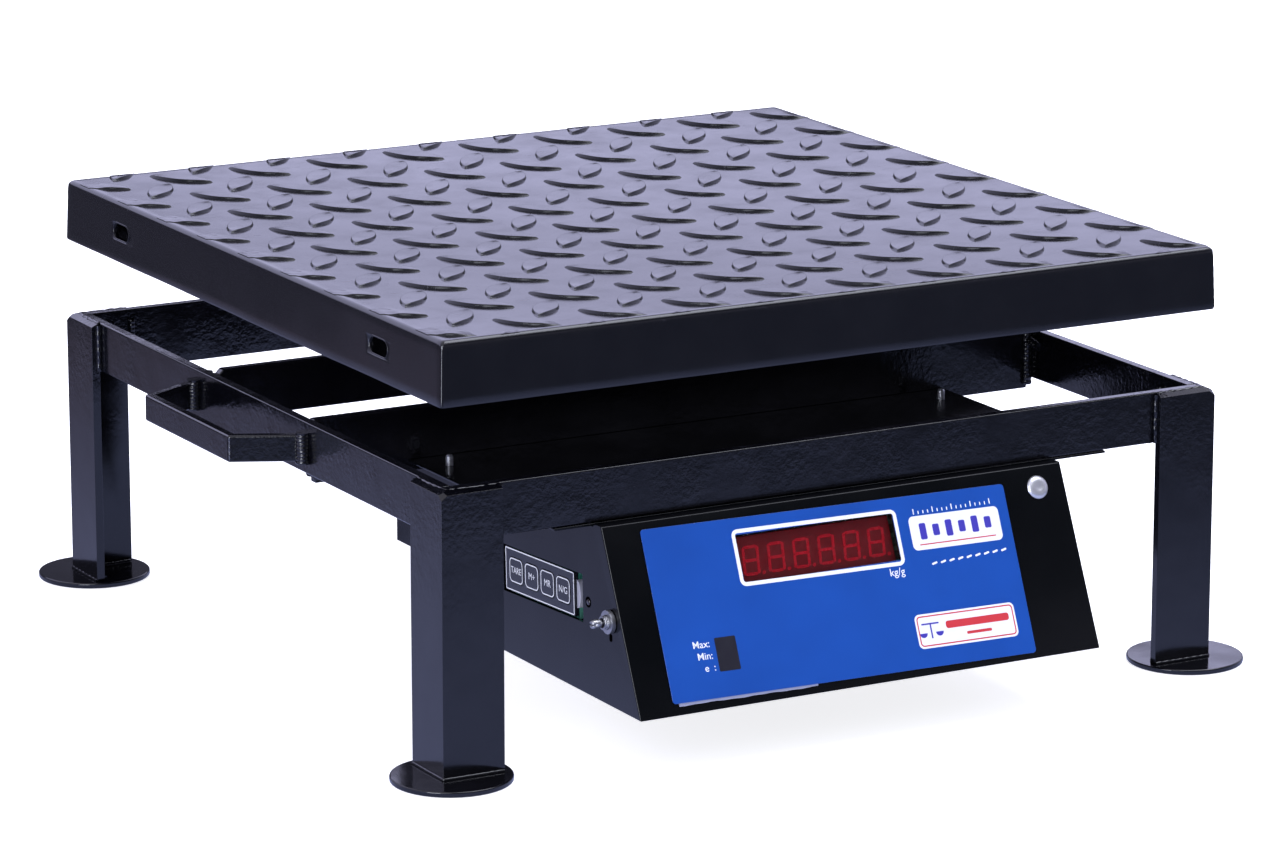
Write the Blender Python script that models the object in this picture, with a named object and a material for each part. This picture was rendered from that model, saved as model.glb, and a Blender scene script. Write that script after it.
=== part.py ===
"""Bench-type platform scale: welded stand, load cell, lift-off pan and a hung indicator.

All driving sizes are in millimetres, measured from the middle of the stand on the floor:
+X to the right, +Y to the back, +Z up. The indicator faces -Y. Meshes are made in metres.
"""

import math

import bmesh
import bpy
from mathutils import Matrix, Vector

MM = 0.001
GAP = 0.3

# Stand
FRAME_SIDE = 400.0
FRAME_TOP = 131.5
LEG_FLANGE = 30.0
LEG_WALL = 4.0
FOOT_RADIUS = 27.25
FOOT_THICKNESS = 2.6
FOOT_INSET = 8.0
BAR_THICKNESS = 5.0
BAR_HEIGHT = 24.0
DEEP_BAR_HEIGHT = 29.7
CROSS_FRONT_Y = -56.0
CROSS_REAR_Y = 53.0

# Carry handle on the left rail
HANDLE_REACH = 27.0
HANDLE_HEIGHT = 12.5
HANDLE_LOW = 113.0
HANDLE_WALL = 5.0

# Weighing pan
PAN_SIDE = 400.0
PAN_TOP = 197.2
PAN_PLATE = 3.0
PAN_SKIRT = 29.2
PAN_WALL = 2.5
PAN_FLARE = 1.3
SLOT_LENGTH = 18.0
SLOT_WIDTH = 8.0
SLOT_Z = 183.0
SLOT_YS = (134.6, -138.9)
STIFFENER = (4.0, 370.0, 24.4)
STIFFENER_X = 188.0

# Load cell and spider
CELL_SIZE = (130.0, 30.0, 22.0)
CELL_BOLT_XS = (39.0, 57.0)
CELL_BORE_RADIUS = 7.5
CELL_BORE_PITCH = 24.0
CELL_BOLT_DEPTH = 14.0
BASE_PLATE = (150.0, 124.0, 5.0)
SPACER = (38.0, 30.0, 3.0)
SPIDER_PLATE = (130.0, 90.0, 5.0)
SPIDER_BAR = (25.0, 6.0)
CROSS_BAR_LENGTH = 270.0
CROSS_BAR_Y = 31.0
SIDE_BAR_LENGTH = 290.0
SIDE_BAR_X = 120.0
PAD_Y = 130.0
PAD_RADIUS = 11.0
BOLT_RADIUS = 3.0
BOLT_HEAD_RADIUS = 5.6
BOLT_HEAD_HEIGHT = 4.0
STOP_GAP = 1.0

# Indicator housing hung under the front of the stand
BOX_LEFT = -124.0
BOX_RIGHT = 113.3
BOX_TOP = 107.2
BOX_BOTTOM = 28.3
FRONT_TOP_Y = -203.1
FRONT_BOTTOM_Y = -238.8
SHEET = 1.2
STEP_FRONT_Y = -100.0
STEP_REAR_Y = -92.0
STEP_Z = 55.0
BOX_REAR_Y = -5.0
REAR_TOP = 101.2
REAR_TOP_Y = -57.0
TOP_PLATE_HALF = 143.0
TOP_SCREW_X = 131.0
TOP_SCREW_Y = -73.0
FOLD_LIP_Y = -196.0
GROMMET_X = -20.0
INLET_X = 60.0
REAR_HOLE_Z = 84.0
REAR_HOLE_RADIUS = 4.3

# Boards and battery inside the housing: corners are (x, y)
BOARD_THICKNESS = 1.6
MAIN_BOARD = ((-70.0, -205.0), (50.0, -125.0))
MAIN_BOARD_RISE = 6.0
BATTERY = ((-60.0, -80.0), (40.0, -12.0))
BATTERY_HEIGHT = 38.0
DISPLAY_BOARD = (104.0, 34.0)

# Sloped front: positions are (x, distance down the slope from the top edge)
OVERLAY_CENTRE = (-13.2, 43.8)
OVERLAY_SIZE = (186.5, 77.6)
OVERLAY_FILM = 0.4
OVERLAY_CORNER = 1.6
OVERLAY_TURN = math.radians(-0.8)
WINDOW_CENTRE = (-19.8, 22.8)
WINDOW_SIZE = (80.6, 21.6)
DIGITS_SIZE = (79.6, 21.0, 8.0)
DIGITS_DEPTH = 3.0
STUD_CENTRE = (98.4, 10.1)
STUD_RADIUS = 5.4

# Keypad in the left side of the housing: positions are (y, z)
KEYPAD_CENTRE = (-145.2, 69.2)
KEYPAD_SIZE = (65.0, 20.0)
KEYPAD_TURN = math.radians(-2.7)
KEYPAD_OPENING = (74.8, 21.6)
KEYPAD_OPENING_SHIFT = -3.9
KEYPAD_BOARD = (65.6, 23.0)
KEY_SIZE = (12.6, 11.4)
KEY_CORNER = 2.6
KEY_PITCH = 14.8
KEY_TRAVEL = 0.6
KEY_NAMES = ("key_tare", "key_zero", "key_unit", "key_total")
LED_CENTRE = (-191.5, 70.6)
LED_RADIUS = 1.7
SWITCH_CENTRE = (-212.0, 66.8)
SWITCH_BUSHING = 3.0
SWITCH_NUT = 5.3
SWITCH_LEVER = 8.4

# The origin of the whole scale is the middle of its box on the floor
REACH = FRAME_SIDE / 2 - FOOT_INSET + FOOT_RADIUS
HANDLE_FACE = FRAME_SIDE / 2 + HANDLE_REACH
ORIGIN = Vector(((REACH - HANDLE_FACE) / 2, (REACH + FRONT_BOTTOM_Y) / 2, 0.0))

PLANES = {
    "XY": lambda a, b, c: (a, b, c),
    "YZ": lambda a, b, c: (c, a, b),
    "XZ": lambda a, b, c: (a, c, b),
}


def clear_scene():
    """Remove every object so that the script can be run again."""
    for item in list(bpy.data.objects):
        bpy.data.objects.remove(item, do_unlink=True)


def make_material(name, colour, roughness, metallic=0.0, alpha=1.0):
    """One plain Principled material."""
    material = bpy.data.materials.new(name)
    material.use_nodes = True
    shader = material.node_tree.nodes["Principled BSDF"]
    shader.inputs["Base Color"].default_value = (*colour, 1.0)
    shader.inputs["Roughness"].default_value = roughness
    shader.inputs["Metallic"].default_value = metallic
    shader.inputs["Alpha"].default_value = alpha
    return material


def add_object(name, shape, material, place=(0, 0, 0), turn=None):
    """Turn a bmesh, in millimetres, into a named object under the scale's origin."""
    bmesh.ops.recalc_face_normals(shape, faces=shape.faces)
    bmesh.ops.scale(shape, vec=(MM, MM, MM), verts=shape.verts)
    mesh = bpy.data.meshes.new(name)
    shape.to_mesh(mesh)
    shape.free()
    mesh.shade_smooth()
    mesh.set_sharp_from_angle(angle=math.radians(30))
    item = bpy.data.objects.new(name, mesh)
    item.location = Vector(place) * MM
    if turn:
        item.rotation_euler = turn
    if material:
        mesh.materials.append(material)
        item.parent = ORIGIN_EMPTY
    bpy.context.scene.collection.objects.link(item)
    return item


def prism(outline, low, high, plane="XY"):
    """Bmesh of an outline pushed from low to high across its plane."""
    shape = bmesh.new()
    corners = [shape.verts.new(PLANES[plane](a, b, low)) for a, b in outline]
    face = shape.faces.new(corners)
    pushed = bmesh.ops.extrude_face_region(shape, geom=[face])["geom"]
    top = [part for part in pushed if isinstance(part, bmesh.types.BMVert)]
    bmesh.ops.translate(shape, verts=top, vec=PLANES[plane](0, 0, high - low))
    return shape


def block(low, high):
    """Bmesh of a box between two corners."""
    outline = [(low[0], low[1]), (high[0], low[1]), (high[0], high[1]), (low[0], high[1])]
    return prism(outline, low[2], high[2])


def rectangle(width, height, centre=(0.0, 0.0)):
    """Four corners of a rectangle."""
    x, y = centre
    half = ((-1, -1), (1, -1), (1, 1), (-1, 1))
    return [(x + sx * width / 2, y + sy * height / 2) for sx, sy in half]


def rounded_rectangle(width, height, radius, steps=4):
    """A rectangle about the origin with arcs at its corners."""
    points = []
    for quarter, (sx, sy) in enumerate(((1, 1), (-1, 1), (-1, -1), (1, -1))):
        for step in range(steps + 1):
            angle = math.radians(90 * quarter + 90 * step / steps)
            x = sx * (width / 2 - radius) + radius * math.cos(angle)
            y = sy * (height / 2 - radius) + radius * math.sin(angle)
            points.append((x, y))
    return points


def circle(radius, steps=20, centre=(0.0, 0.0), phase=0.0):
    """Points round a circle."""
    points = []
    for step in range(steps):
        angle = 2 * math.pi * step / steps + phase
        points.append((centre[0] + radius * math.cos(angle), centre[1] + radius * math.sin(angle)))
    return points


def turned(profile, steps=20, axis="Z"):
    """Bmesh of a closed profile of (radius, height), top to bottom on its outer side."""
    shape = bmesh.new()
    rings = []
    for radius, height in profile:
        if radius < 1e-6:
            rings.append([shape.verts.new((0, 0, height))])
            continue
        ring = [shape.verts.new((x, y, height)) for x, y in circle(radius, steps)]
        rings.append(ring)
    for upper, lower in zip(rings, rings[1:] + rings[:1]):
        for step in range(steps):
            after = (step + 1) % steps
            if len(upper) == 1 and len(lower) == 1:
                continue
            if len(upper) == 1:
                shape.faces.new((upper[0], lower[step], lower[after]))
            elif len(lower) == 1:
                shape.faces.new((upper[step], upper[after], lower[0]))
            else:
                shape.faces.new((upper[step], upper[after], lower[after], lower[step]))
    turns = {"Z": Matrix(), "X": Matrix.Rotation(math.pi / 2, 4, "Y"),
             "Y": Matrix.Rotation(-math.pi / 2, 4, "X")}
    bmesh.ops.transform(shape, matrix=turns[axis], verts=shape.verts)
    return shape


def combine(item, other, operation):
    """Cut or join another shape with a Boolean; the helper stays hidden."""
    other.parent = ORIGIN_EMPTY
    other.hide_render = True
    other.display_type = "WIRE"
    boolean = item.modifiers.new(operation.title(), "BOOLEAN")
    boolean.operation = operation
    boolean.solver = "EXACT"
    boolean.object = other


def cut(item, shape, place=(0, 0, 0), turn=None):
    """Cut a shape out of an object."""
    combine(item, add_object(item.name + "_cutter", shape, None, place, turn), "DIFFERENCE")


def join(item, shape, place=(0, 0, 0), turn=None):
    """Join a shape to an object."""
    combine(item, add_object(item.name + "_joined", shape, None, place, turn), "UNION")


# ---------------------------------------------------------------- stand

def build_legs_and_feet():
    """Four angle-iron legs, each on a welded round disc."""
    half = FRAME_SIDE / 2
    outline = [(0, 0), (LEG_FLANGE, 0), (LEG_FLANGE, LEG_WALL), (LEG_WALL, LEG_WALL),
               (LEG_WALL, LEG_FLANGE), (0, LEG_FLANGE)]
    corners = {"front_left": (-1, -1), "front_right": (1, -1),
               "rear_left": (-1, 1), "rear_right": (1, 1)}
    for corner, (side_x, side_y) in corners.items():
        facing = [(-side_x * a, -side_y * b) for a, b in outline]
        leg = prism(facing, FOOT_THICKNESS + GAP, FRAME_TOP)
        add_object("leg_" + corner, leg, BLACK, (side_x * half, side_y * half, 0))
        inset = half - FOOT_INSET
        disc = prism(circle(FOOT_RADIUS, 40), 0, FOOT_THICKNESS)
        add_object("foot_disc_" + corner, disc, BLACK, (side_x * inset, side_y * inset, 0))


def build_rails():
    """Flat bars on edge, nested inside the legs, and two cross members."""
    outer = FRAME_SIDE / 2 - LEG_WALL - GAP
    inner = outer - BAR_THICKNESS
    low = FRAME_TOP - BAR_HEIGHT
    deep = FRAME_TOP - DEEP_BAR_HEIGHT
    between = inner - GAP
    add_object("rail_left", block((-outer, -between, low), (-inner, between, FRAME_TOP)), BLACK)
    add_object("rail_right", block((inner, -between, low), (outer, between, FRAME_TOP)), BLACK)
    add_object("rail_front", block((-outer, -outer, low), (outer, -inner, FRAME_TOP)), BLACK)
    add_object("rail_rear", block((-outer, inner, deep), (outer, outer, FRAME_TOP)), BLACK)
    front = block((-between, CROSS_FRONT_Y, deep),
                  (between, CROSS_FRONT_Y + BAR_THICKNESS, FRAME_TOP))
    add_object("cross_member_front", front, BLACK)
    clip = 6.0
    outline = [(-between, low), (between, low), (between, FRAME_TOP),
               (clip - between, FRAME_TOP), (-between, FRAME_TOP - clip)]
    rear = prism(outline, CROSS_REAR_Y, CROSS_REAR_Y + BAR_THICKNESS, "XZ")
    add_object("cross_member_rear", rear, BLACK)


def strip_outline(points, thickness, end_x):
    """Outline of a flat bar bent through points, both ends cut off at x = end_x."""
    lines = []
    for start, end in zip(points, points[1:]):
        along = (Vector(end) - Vector(start)).normalized()
        across = Vector((-along.y, along.x)) * thickness / 2
        lines.append((Vector(start), along, across))
    sides = []
    for sign in (1, -1):
        side = []
        start, along, across = lines[0]
        base = start + across * sign
        side.append(base + along * ((end_x - base.x) / along.x))
        for (p, u, m), (q, v, n) in zip(lines, lines[1:]):
            p_side = p + m * sign
            gap = (q + n * sign) - p_side
            side.append(p_side + u * (gap.cross(v) / u.cross(v)))
        start, along, across = lines[-1]
        base = start + across * sign
        side.append(base + along * ((end_x - base.x) / along.x))
        sides.append(side)
    return [tuple(point) for point in sides[0] + sides[1][::-1]]


def build_handle():
    """Carry handle: a flat bar bent out and back, welded to the left rail."""
    middle = -(HANDLE_FACE - HANDLE_WALL / 2)
    weld_x = -(FRAME_SIDE / 2 - LEG_WALL)
    route = [(weld_x, 62.0), (middle, 46.5), (middle, -41.0), (weld_x, -55.0)]
    outline = strip_outline(route, HANDLE_WALL, weld_x)
    handle = prism(outline, HANDLE_LOW, HANDLE_LOW + HANDLE_HEIGHT)
    add_object("carry_handle", handle, BLACK)


# ---------------------------------------------------------------- load cell

def stack_levels():
    """Heights of the stack from the cross members up to the pan."""
    base_low = FRAME_TOP + GAP
    spacer_low = base_low + BASE_PLATE[2] + GAP
    cell_low = spacer_low + SPACER[2] + GAP
    upper_low = cell_low + CELL_SIZE[2] + GAP
    spider_low = upper_low + SPACER[2] + GAP
    cross_low = spider_low + SPIDER_PLATE[2] + GAP
    side_low = cross_low + SPIDER_BAR[1] + GAP
    pad_low = side_low + SPIDER_BAR[1] + GAP
    return base_low, spacer_low, cell_low, upper_low, spider_low, cross_low, side_low, pad_low


def centred_block(size, low, x=0.0, y=0.0):
    """Bmesh of a plate of a size about (x, y), standing on low."""
    return block((x - size[0] / 2, y - size[1] / 2, low),
                 (x + size[0] / 2, y + size[1] / 2, low + size[2]))


def build_load_cell():
    """Single-point load cell between a base plate and the spider, with its bolts."""
    base_low, spacer_low, cell_low, upper_low, spider_low = stack_levels()[:5]
    spacer_x = sum(CELL_BOLT_XS) / 2
    base = add_object("load_cell_base_plate", centred_block(BASE_PLATE, base_low), BLACK)
    lower = add_object("load_cell_lower_spacer",
                       centred_block(SPACER, spacer_low, -spacer_x), ALUMINIUM)
    upper = add_object("load_cell_upper_spacer",
                       centred_block(SPACER, upper_low, spacer_x), ALUMINIUM)
    spider = add_object("spider_plate", centred_block(SPIDER_PLATE, spider_low), BLACK)
    cell = add_object("load_cell", centred_block(CELL_SIZE, cell_low), ALUMINIUM)
    cell_mid = cell_low + CELL_SIZE[2] / 2
    half_pitch = CELL_BORE_PITCH / 2
    window = []
    for sign, start in ((1, -150), (-1, 30)):
        for step in range(13):
            angle = math.radians(start + 25 * step)
            window.append((sign * half_pitch + CELL_BORE_RADIUS * math.cos(angle),
                           cell_mid + CELL_BORE_RADIUS * math.sin(angle)))
    width = CELL_SIZE[1]
    cut(cell, prism(window, -width, width, "XZ"))
    depth = CELL_BOLT_DEPTH
    end_gap = CELL_BORE_RADIUS / 2
    hole = BOLT_RADIUS + GAP
    for index, bolt_x in enumerate(CELL_BOLT_XS, start=1):
        head_low = base_low - GAP - BOLT_HEAD_HEIGHT
        shank_top = cell_low + depth - end_gap
        drill = prism(circle(hole), base_low - 1, cell_low + depth)
        for part in (base, lower, cell):
            cut(part, drill.copy(), (-bolt_x, 0, 0))
        drill.free()
        profile = [(0, shank_top), (BOLT_RADIUS, shank_top), (BOLT_RADIUS, base_low - GAP),
                   (BOLT_HEAD_RADIUS, base_low - GAP), (BOLT_HEAD_RADIUS, head_low), (0, head_low)]
        add_object(f"lower_cell_bolt_{index}", turned(profile), ZINC, (-bolt_x, 0, 0))
        seat = spider_low + SPIDER_PLATE[2] + GAP
        shank_end = upper_low - GAP - depth + end_gap
        drill = prism(circle(hole), upper_low - GAP - depth, seat + 1)
        for part in (cell, upper, spider):
            cut(part, drill.copy(), (bolt_x, 0, 0))
        drill.free()
        profile = [(0, seat + BOLT_HEAD_HEIGHT), (BOLT_HEAD_RADIUS, seat + BOLT_HEAD_HEIGHT),
                   (BOLT_HEAD_RADIUS, seat), (BOLT_RADIUS, seat), (BOLT_RADIUS, shank_end),
                   (0, shank_end)]
        add_object(f"upper_cell_bolt_{index}", turned(profile), ZINC, (bolt_x, 0, 0))
    stop_low = base_low + BASE_PLATE[2] + GAP
    stop_top = cell_low - STOP_GAP
    stop = prism(circle(BOLT_HEAD_RADIUS, 6), stop_low, stop_top)
    add_object("overload_stop", stop, ZINC, (spacer_x, 0, 0))


def build_spider():
    """Two cross bars and two side bars on the spider plate, with four rubber pads."""
    cross_low, side_low, pad_low = stack_levels()[5:]
    width, height = SPIDER_BAR
    for place, sign in (("front", -1), ("rear", 1)):
        size = (CROSS_BAR_LENGTH, width, height)
        bar = centred_block(size, cross_low, 0, sign * CROSS_BAR_Y)
        add_object("spider_cross_bar_" + place, bar, BLACK)
    pad_top = PAN_TOP - PAN_PLATE - GAP
    for side, sign_x in (("left", -1), ("right", 1)):
        size = (width, SIDE_BAR_LENGTH, height)
        bar = centred_block(size, side_low, sign_x * SIDE_BAR_X, 0)
        add_object("spider_side_bar_" + side, bar, BLACK)
        for place, sign_y in (("front", -1), ("rear", 1)):
            profile = [(0, pad_top), (PAD_RADIUS - 1.5, pad_top), (PAD_RADIUS, pad_top - 1.5),
                       (PAD_RADIUS, pad_low), (0, pad_low)]
            add_object(f"rubber_pad_{place}_{side}", turned(profile, 24), RUBBER,
                       (sign_x * SIDE_BAR_X, sign_y * PAD_Y, 0))


def build_pan():
    """Lift-off pan: a plate with four folded skirts, and a stiffening bar behind each side."""
    half = PAN_SIDE / 2 - PAN_FLARE
    wide = PAN_SIDE / 2
    low = PAN_TOP - PAN_SKIRT
    edge = 1.6

    def ring(shape, reach, height):
        return [shape.verts.new((x * reach, y * reach, height))
                for x, y in ((-1, -1), (1, -1), (1, 1), (-1, 1))]

    shape = bmesh.new()
    loops = [ring(shape, half - edge, PAN_TOP), ring(shape, half - edge * 0.3, PAN_TOP - edge * 0.3),
             ring(shape, half, PAN_TOP - edge), ring(shape, wide, low),
             ring(shape, wide - PAN_WALL, low), ring(shape, half - PAN_WALL, PAN_TOP - PAN_PLATE)]
    for upper, lower in zip(loops, loops[1:]):
        for step in range(4):
            after = (step + 1) % 4
            shape.faces.new((upper[step], upper[after], lower[after], lower[step]))
    shape.faces.new(loops[0])
    shape.faces.new(loops[-1])
    pan = add_object("platform_pan", shape, BLACK)
    slot = rounded_rectangle(SLOT_LENGTH, SLOT_WIDTH, SLOT_WIDTH / 2 - 0.01)
    for side in (-1, 1):
        for slot_y in SLOT_YS:
            cutter = prism(slot, -8, 8, "YZ")
            cut(pan, cutter, (side * wide, slot_y, SLOT_Z))
    bar_low = PAN_TOP - PAN_PLATE - GAP - STIFFENER[2]
    for side, sign in (("left", -1), ("right", 1)):
        bar = centred_block(STIFFENER, bar_low, sign * STIFFENER_X)
        add_object("pan_stiffener_" + side, bar, BLACK)


# ---------------------------------------------------------------- indicator

def slope_matrix():
    """Frame of the sloped front: X right, Y up the slope, Z out of the face."""
    down = Vector((0, FRONT_BOTTOM_Y - FRONT_TOP_Y, BOX_BOTTOM - BOX_TOP)).normalized()
    out = Vector((1, 0, 0)).cross(-down)
    turn = Matrix((Vector((1, 0, 0)), -down, out)).transposed()
    return Vector((0, FRONT_TOP_Y, BOX_TOP)), turn


def on_slope(x, down, out=0.0):
    """Place of a point on the sloped front."""
    corner, turn = slope_matrix()
    return corner + turn @ Vector((x, -down, out))


def slope_turn():
    """Rotation of a piece that lies on the sloped front."""
    return slope_matrix()[1].to_euler()


def build_cover():
    """Front and side walls of the housing, folded from one sheet."""
    length = math.hypot(FRONT_BOTTOM_Y - FRONT_TOP_Y, BOX_TOP - BOX_BOTTOM)
    slant = (FRONT_BOTTOM_Y - FRONT_TOP_Y) / (BOX_TOP - BOX_BOTTOM)
    inner_shift = SHEET * length / (BOX_TOP - BOX_BOTTOM)
    under_top = BOX_TOP - SHEET
    outside = [(FRONT_TOP_Y, BOX_TOP), (FRONT_BOTTOM_Y, BOX_BOTTOM), (STEP_FRONT_Y, BOX_BOTTOM),
               (STEP_REAR_Y, STEP_Z), (BOX_REAR_Y, STEP_Z), (BOX_REAR_Y, REAR_TOP),
               (REAR_TOP_Y, REAR_TOP), (REAR_TOP_Y, under_top - GAP),
               (FOLD_LIP_Y, under_top - GAP), (FOLD_LIP_Y, BOX_TOP)]
    cover = add_object("indicator_cover", prism(outside, BOX_LEFT, BOX_RIGHT, "YZ"), BLACK)

    def front_y(height):
        return FRONT_TOP_Y + slant * (BOX_TOP - height) + inner_shift

    below = BOX_BOTTOM - 40.0
    behind = BOX_REAR_Y + 40.0
    hollow = [(front_y(under_top), under_top), (front_y(below), below),
              (behind, below), (behind, under_top)]
    cut(cover, prism(hollow, BOX_LEFT + SHEET, BOX_RIGHT - SHEET, "YZ"))
    opening = prism(rectangle(*KEYPAD_OPENING), -2, 2, "YZ")
    cut(cover, opening, keypad_place(KEYPAD_OPENING_SHIFT, 0), (KEYPAD_TURN, 0, 0))
    lamp_hole, switch_hole = LED_RADIUS + GAP, SWITCH_BUSHING + GAP
    for (hole_y, hole_z), radius in ((LED_CENTRE, lamp_hole), (SWITCH_CENTRE, switch_hole)):
        cut(cover, prism(circle(radius, 16), -3, 3, "YZ"), (BOX_LEFT, hole_y, hole_z))
    window = prism(rectangle(*WINDOW_SIZE), -4, 4)
    centre = on_slope(*WINDOW_CENTRE)
    cut(cover, window, centre, slope_turn())


def build_tray():
    """Bottom, step, rear wall and rear top of the housing, folded from one sheet."""
    slant = (FRONT_BOTTOM_Y - FRONT_TOP_Y) / (BOX_TOP - BOX_BOTTOM)
    floor = BOX_BOTTOM + SHEET + GAP
    front = FRONT_TOP_Y + slant * (BOX_TOP - floor) + SHEET * 1.4 + GAP
    rear = BOX_REAR_Y - GAP
    rise = SHEET + GAP
    outline = [(front, BOX_BOTTOM), (STEP_FRONT_Y - 1, BOX_BOTTOM), (STEP_REAR_Y - 1, STEP_Z),
               (rear, STEP_Z), (rear, REAR_TOP), (REAR_TOP_Y, REAR_TOP),
               (REAR_TOP_Y, REAR_TOP - SHEET), (rear - SHEET, REAR_TOP - SHEET),
               (rear - SHEET, STEP_Z + SHEET), (STEP_REAR_Y - 1 - SHEET, STEP_Z + SHEET),
               (STEP_FRONT_Y - 1 - SHEET, BOX_BOTTOM + SHEET), (front, BOX_BOTTOM + SHEET)]
    tray = prism(outline, BOX_LEFT + rise, BOX_RIGHT - rise, "YZ")
    tray = add_object("indicator_tray", tray, BLACK)
    for hole_x in (GROMMET_X, INLET_X):
        hole = prism(circle(REAR_HOLE_RADIUS, 16), -3, 3, "XZ")
        cut(tray, hole, (hole_x, rear, REAR_HOLE_Z))


def build_rear_fittings():
    """Rubber grommet for the load cell lead, and the charging inlet."""
    rear = BOX_REAR_Y - GAP
    outer, neck, bore = 6.5, 4.0, 2.5
    front_face, back_face = rear - SHEET - GAP, rear + GAP
    profile = [(bore, back_face + 2), (outer, back_face + 2), (outer, back_face),
               (neck, back_face), (neck, front_face), (outer, front_face),
               (outer, front_face - 2), (bore, front_face - 2)]
    grommet = turned(profile, 20, "Y")
    add_object("lead_grommet", grommet, RUBBER, (GROMMET_X, 0, REAR_HOLE_Z))
    profile = [(0, back_face - 9), (2.7, back_face - 9), (2.7, back_face + 2.5),
               (5.5, back_face + 2.5), (5.5, back_face), (neck, back_face),
               (neck, back_face - 12), (0, back_face - 12)]
    inlet = turned(profile, 20, "Y")
    add_object("charging_inlet", inlet, DARK_PLASTIC, (INLET_X, 0, REAR_HOLE_Z))


def build_top_plate():
    """Top plate of the housing, fixed by two screws whose ends stand up inside the stand."""
    low_z, high_z = BOX_TOP - SHEET, BOX_TOP
    low = (-TOP_PLATE_HALF, FOLD_LIP_Y + GAP, low_z)
    high = (TOP_PLATE_HALF, CROSS_FRONT_Y - GAP, high_z)
    plate = add_object("indicator_top_plate", block(low, high), BLACK)
    for side, sign in (("left", -1), ("right", 1)):
        place = (sign * TOP_SCREW_X, TOP_SCREW_Y, 0)
        cut(plate, prism(circle(2.3, 16), low_z - 2, high_z + 2), place)
        seat = low_z - GAP
        profile = [(0, high_z + 4.6), (1.4, high_z + 4.6), (2.0, high_z + 4.0), (2.0, seat),
                   (3.6, seat), (3.6, seat - 2.4), (0, seat - 2.4)]
        add_object("top_plate_screw_" + side, turned(profile, 16), ZINC, place)


def build_front_fittings():
    """Printed overlay, display window, digits and their board, and the sealing stud."""
    turn = slope_turn()
    film = prism(rounded_rectangle(*OVERLAY_SIZE, OVERLAY_CORNER), GAP, GAP + OVERLAY_FILM)
    spin = Matrix.Rotation(OVERLAY_TURN, 4, "Z")
    bmesh.ops.transform(film, matrix=spin, verts=film.verts)
    overlay = add_object("display_overlay", film, BLUE, on_slope(*OVERLAY_CENTRE), turn)
    centre = on_slope(*WINDOW_CENTRE)
    cut(overlay, prism(rectangle(*WINDOW_SIZE), -4, 4), centre, turn)
    width, height = (side - 2 * GAP for side in WINDOW_SIZE)
    window = prism(rectangle(width, height), -0.9, 0.5)
    add_object("display_window", window, WINDOW, centre, turn)
    width, height, depth = DIGITS_SIZE
    face = -DIGITS_DEPTH
    digits = prism(rectangle(width, height), face - depth, face)
    add_object("display_digits", digits, RED, centre, turn)
    board_face = face - depth - GAP
    board = prism(rectangle(*DISPLAY_BOARD), board_face - BOARD_THICKNESS, board_face)
    add_object("display_board", board, BOARD, centre, turn)
    dome = [(0, GAP + 2.4), (2.6, GAP + 2.1), (4.4, GAP + 1.3), (STUD_RADIUS, GAP), (0, GAP)]
    add_object("seal_stud", turned(dome, 24), ZINC, on_slope(*STUD_CENTRE), turn)


def keypad_place(along, out):
    """Place of a point on the keypad: along its length, and out from its board."""
    centre_y, centre_z = KEYPAD_CENTRE
    return (BOX_LEFT + out, centre_y + along * math.cos(KEYPAD_TURN),
            centre_z + along * math.sin(KEYPAD_TURN))


def build_keypad():
    """Keypad plate with four keys over a switch board, behind the side cut-out."""
    turn = (KEYPAD_TURN, 0, 0)
    plate_face, plate_back, board_face, board_back = 0.6, 2.7, 3.0, 5.4
    plate = prism(rectangle(*KEYPAD_SIZE), plate_face, plate_back, "YZ")
    plate = add_object("keypad_plate", plate, BLACK, keypad_place(0, 0), turn)
    board = prism(rectangle(*KEYPAD_BOARD), board_face, board_back, "YZ")
    add_object("keypad_board", board, BOARD, keypad_place(0, 0), turn)
    hole = rounded_rectangle(KEY_SIZE[0] + 2 * GAP, KEY_SIZE[1] + 2 * GAP, KEY_CORNER + GAP)
    cap = rounded_rectangle(*KEY_SIZE, KEY_CORNER)
    for index, name in enumerate(KEY_NAMES):
        place = keypad_place((1.5 - index) * KEY_PITCH, 0)
        cut(plate, prism(hole, -2, 8, "YZ"), place, turn)
        key = prism(cap, plate_face - 0.15, board_face - GAP - KEY_TRAVEL, "YZ")
        add_object(name, key, DARK_PLASTIC, place, turn)


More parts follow.
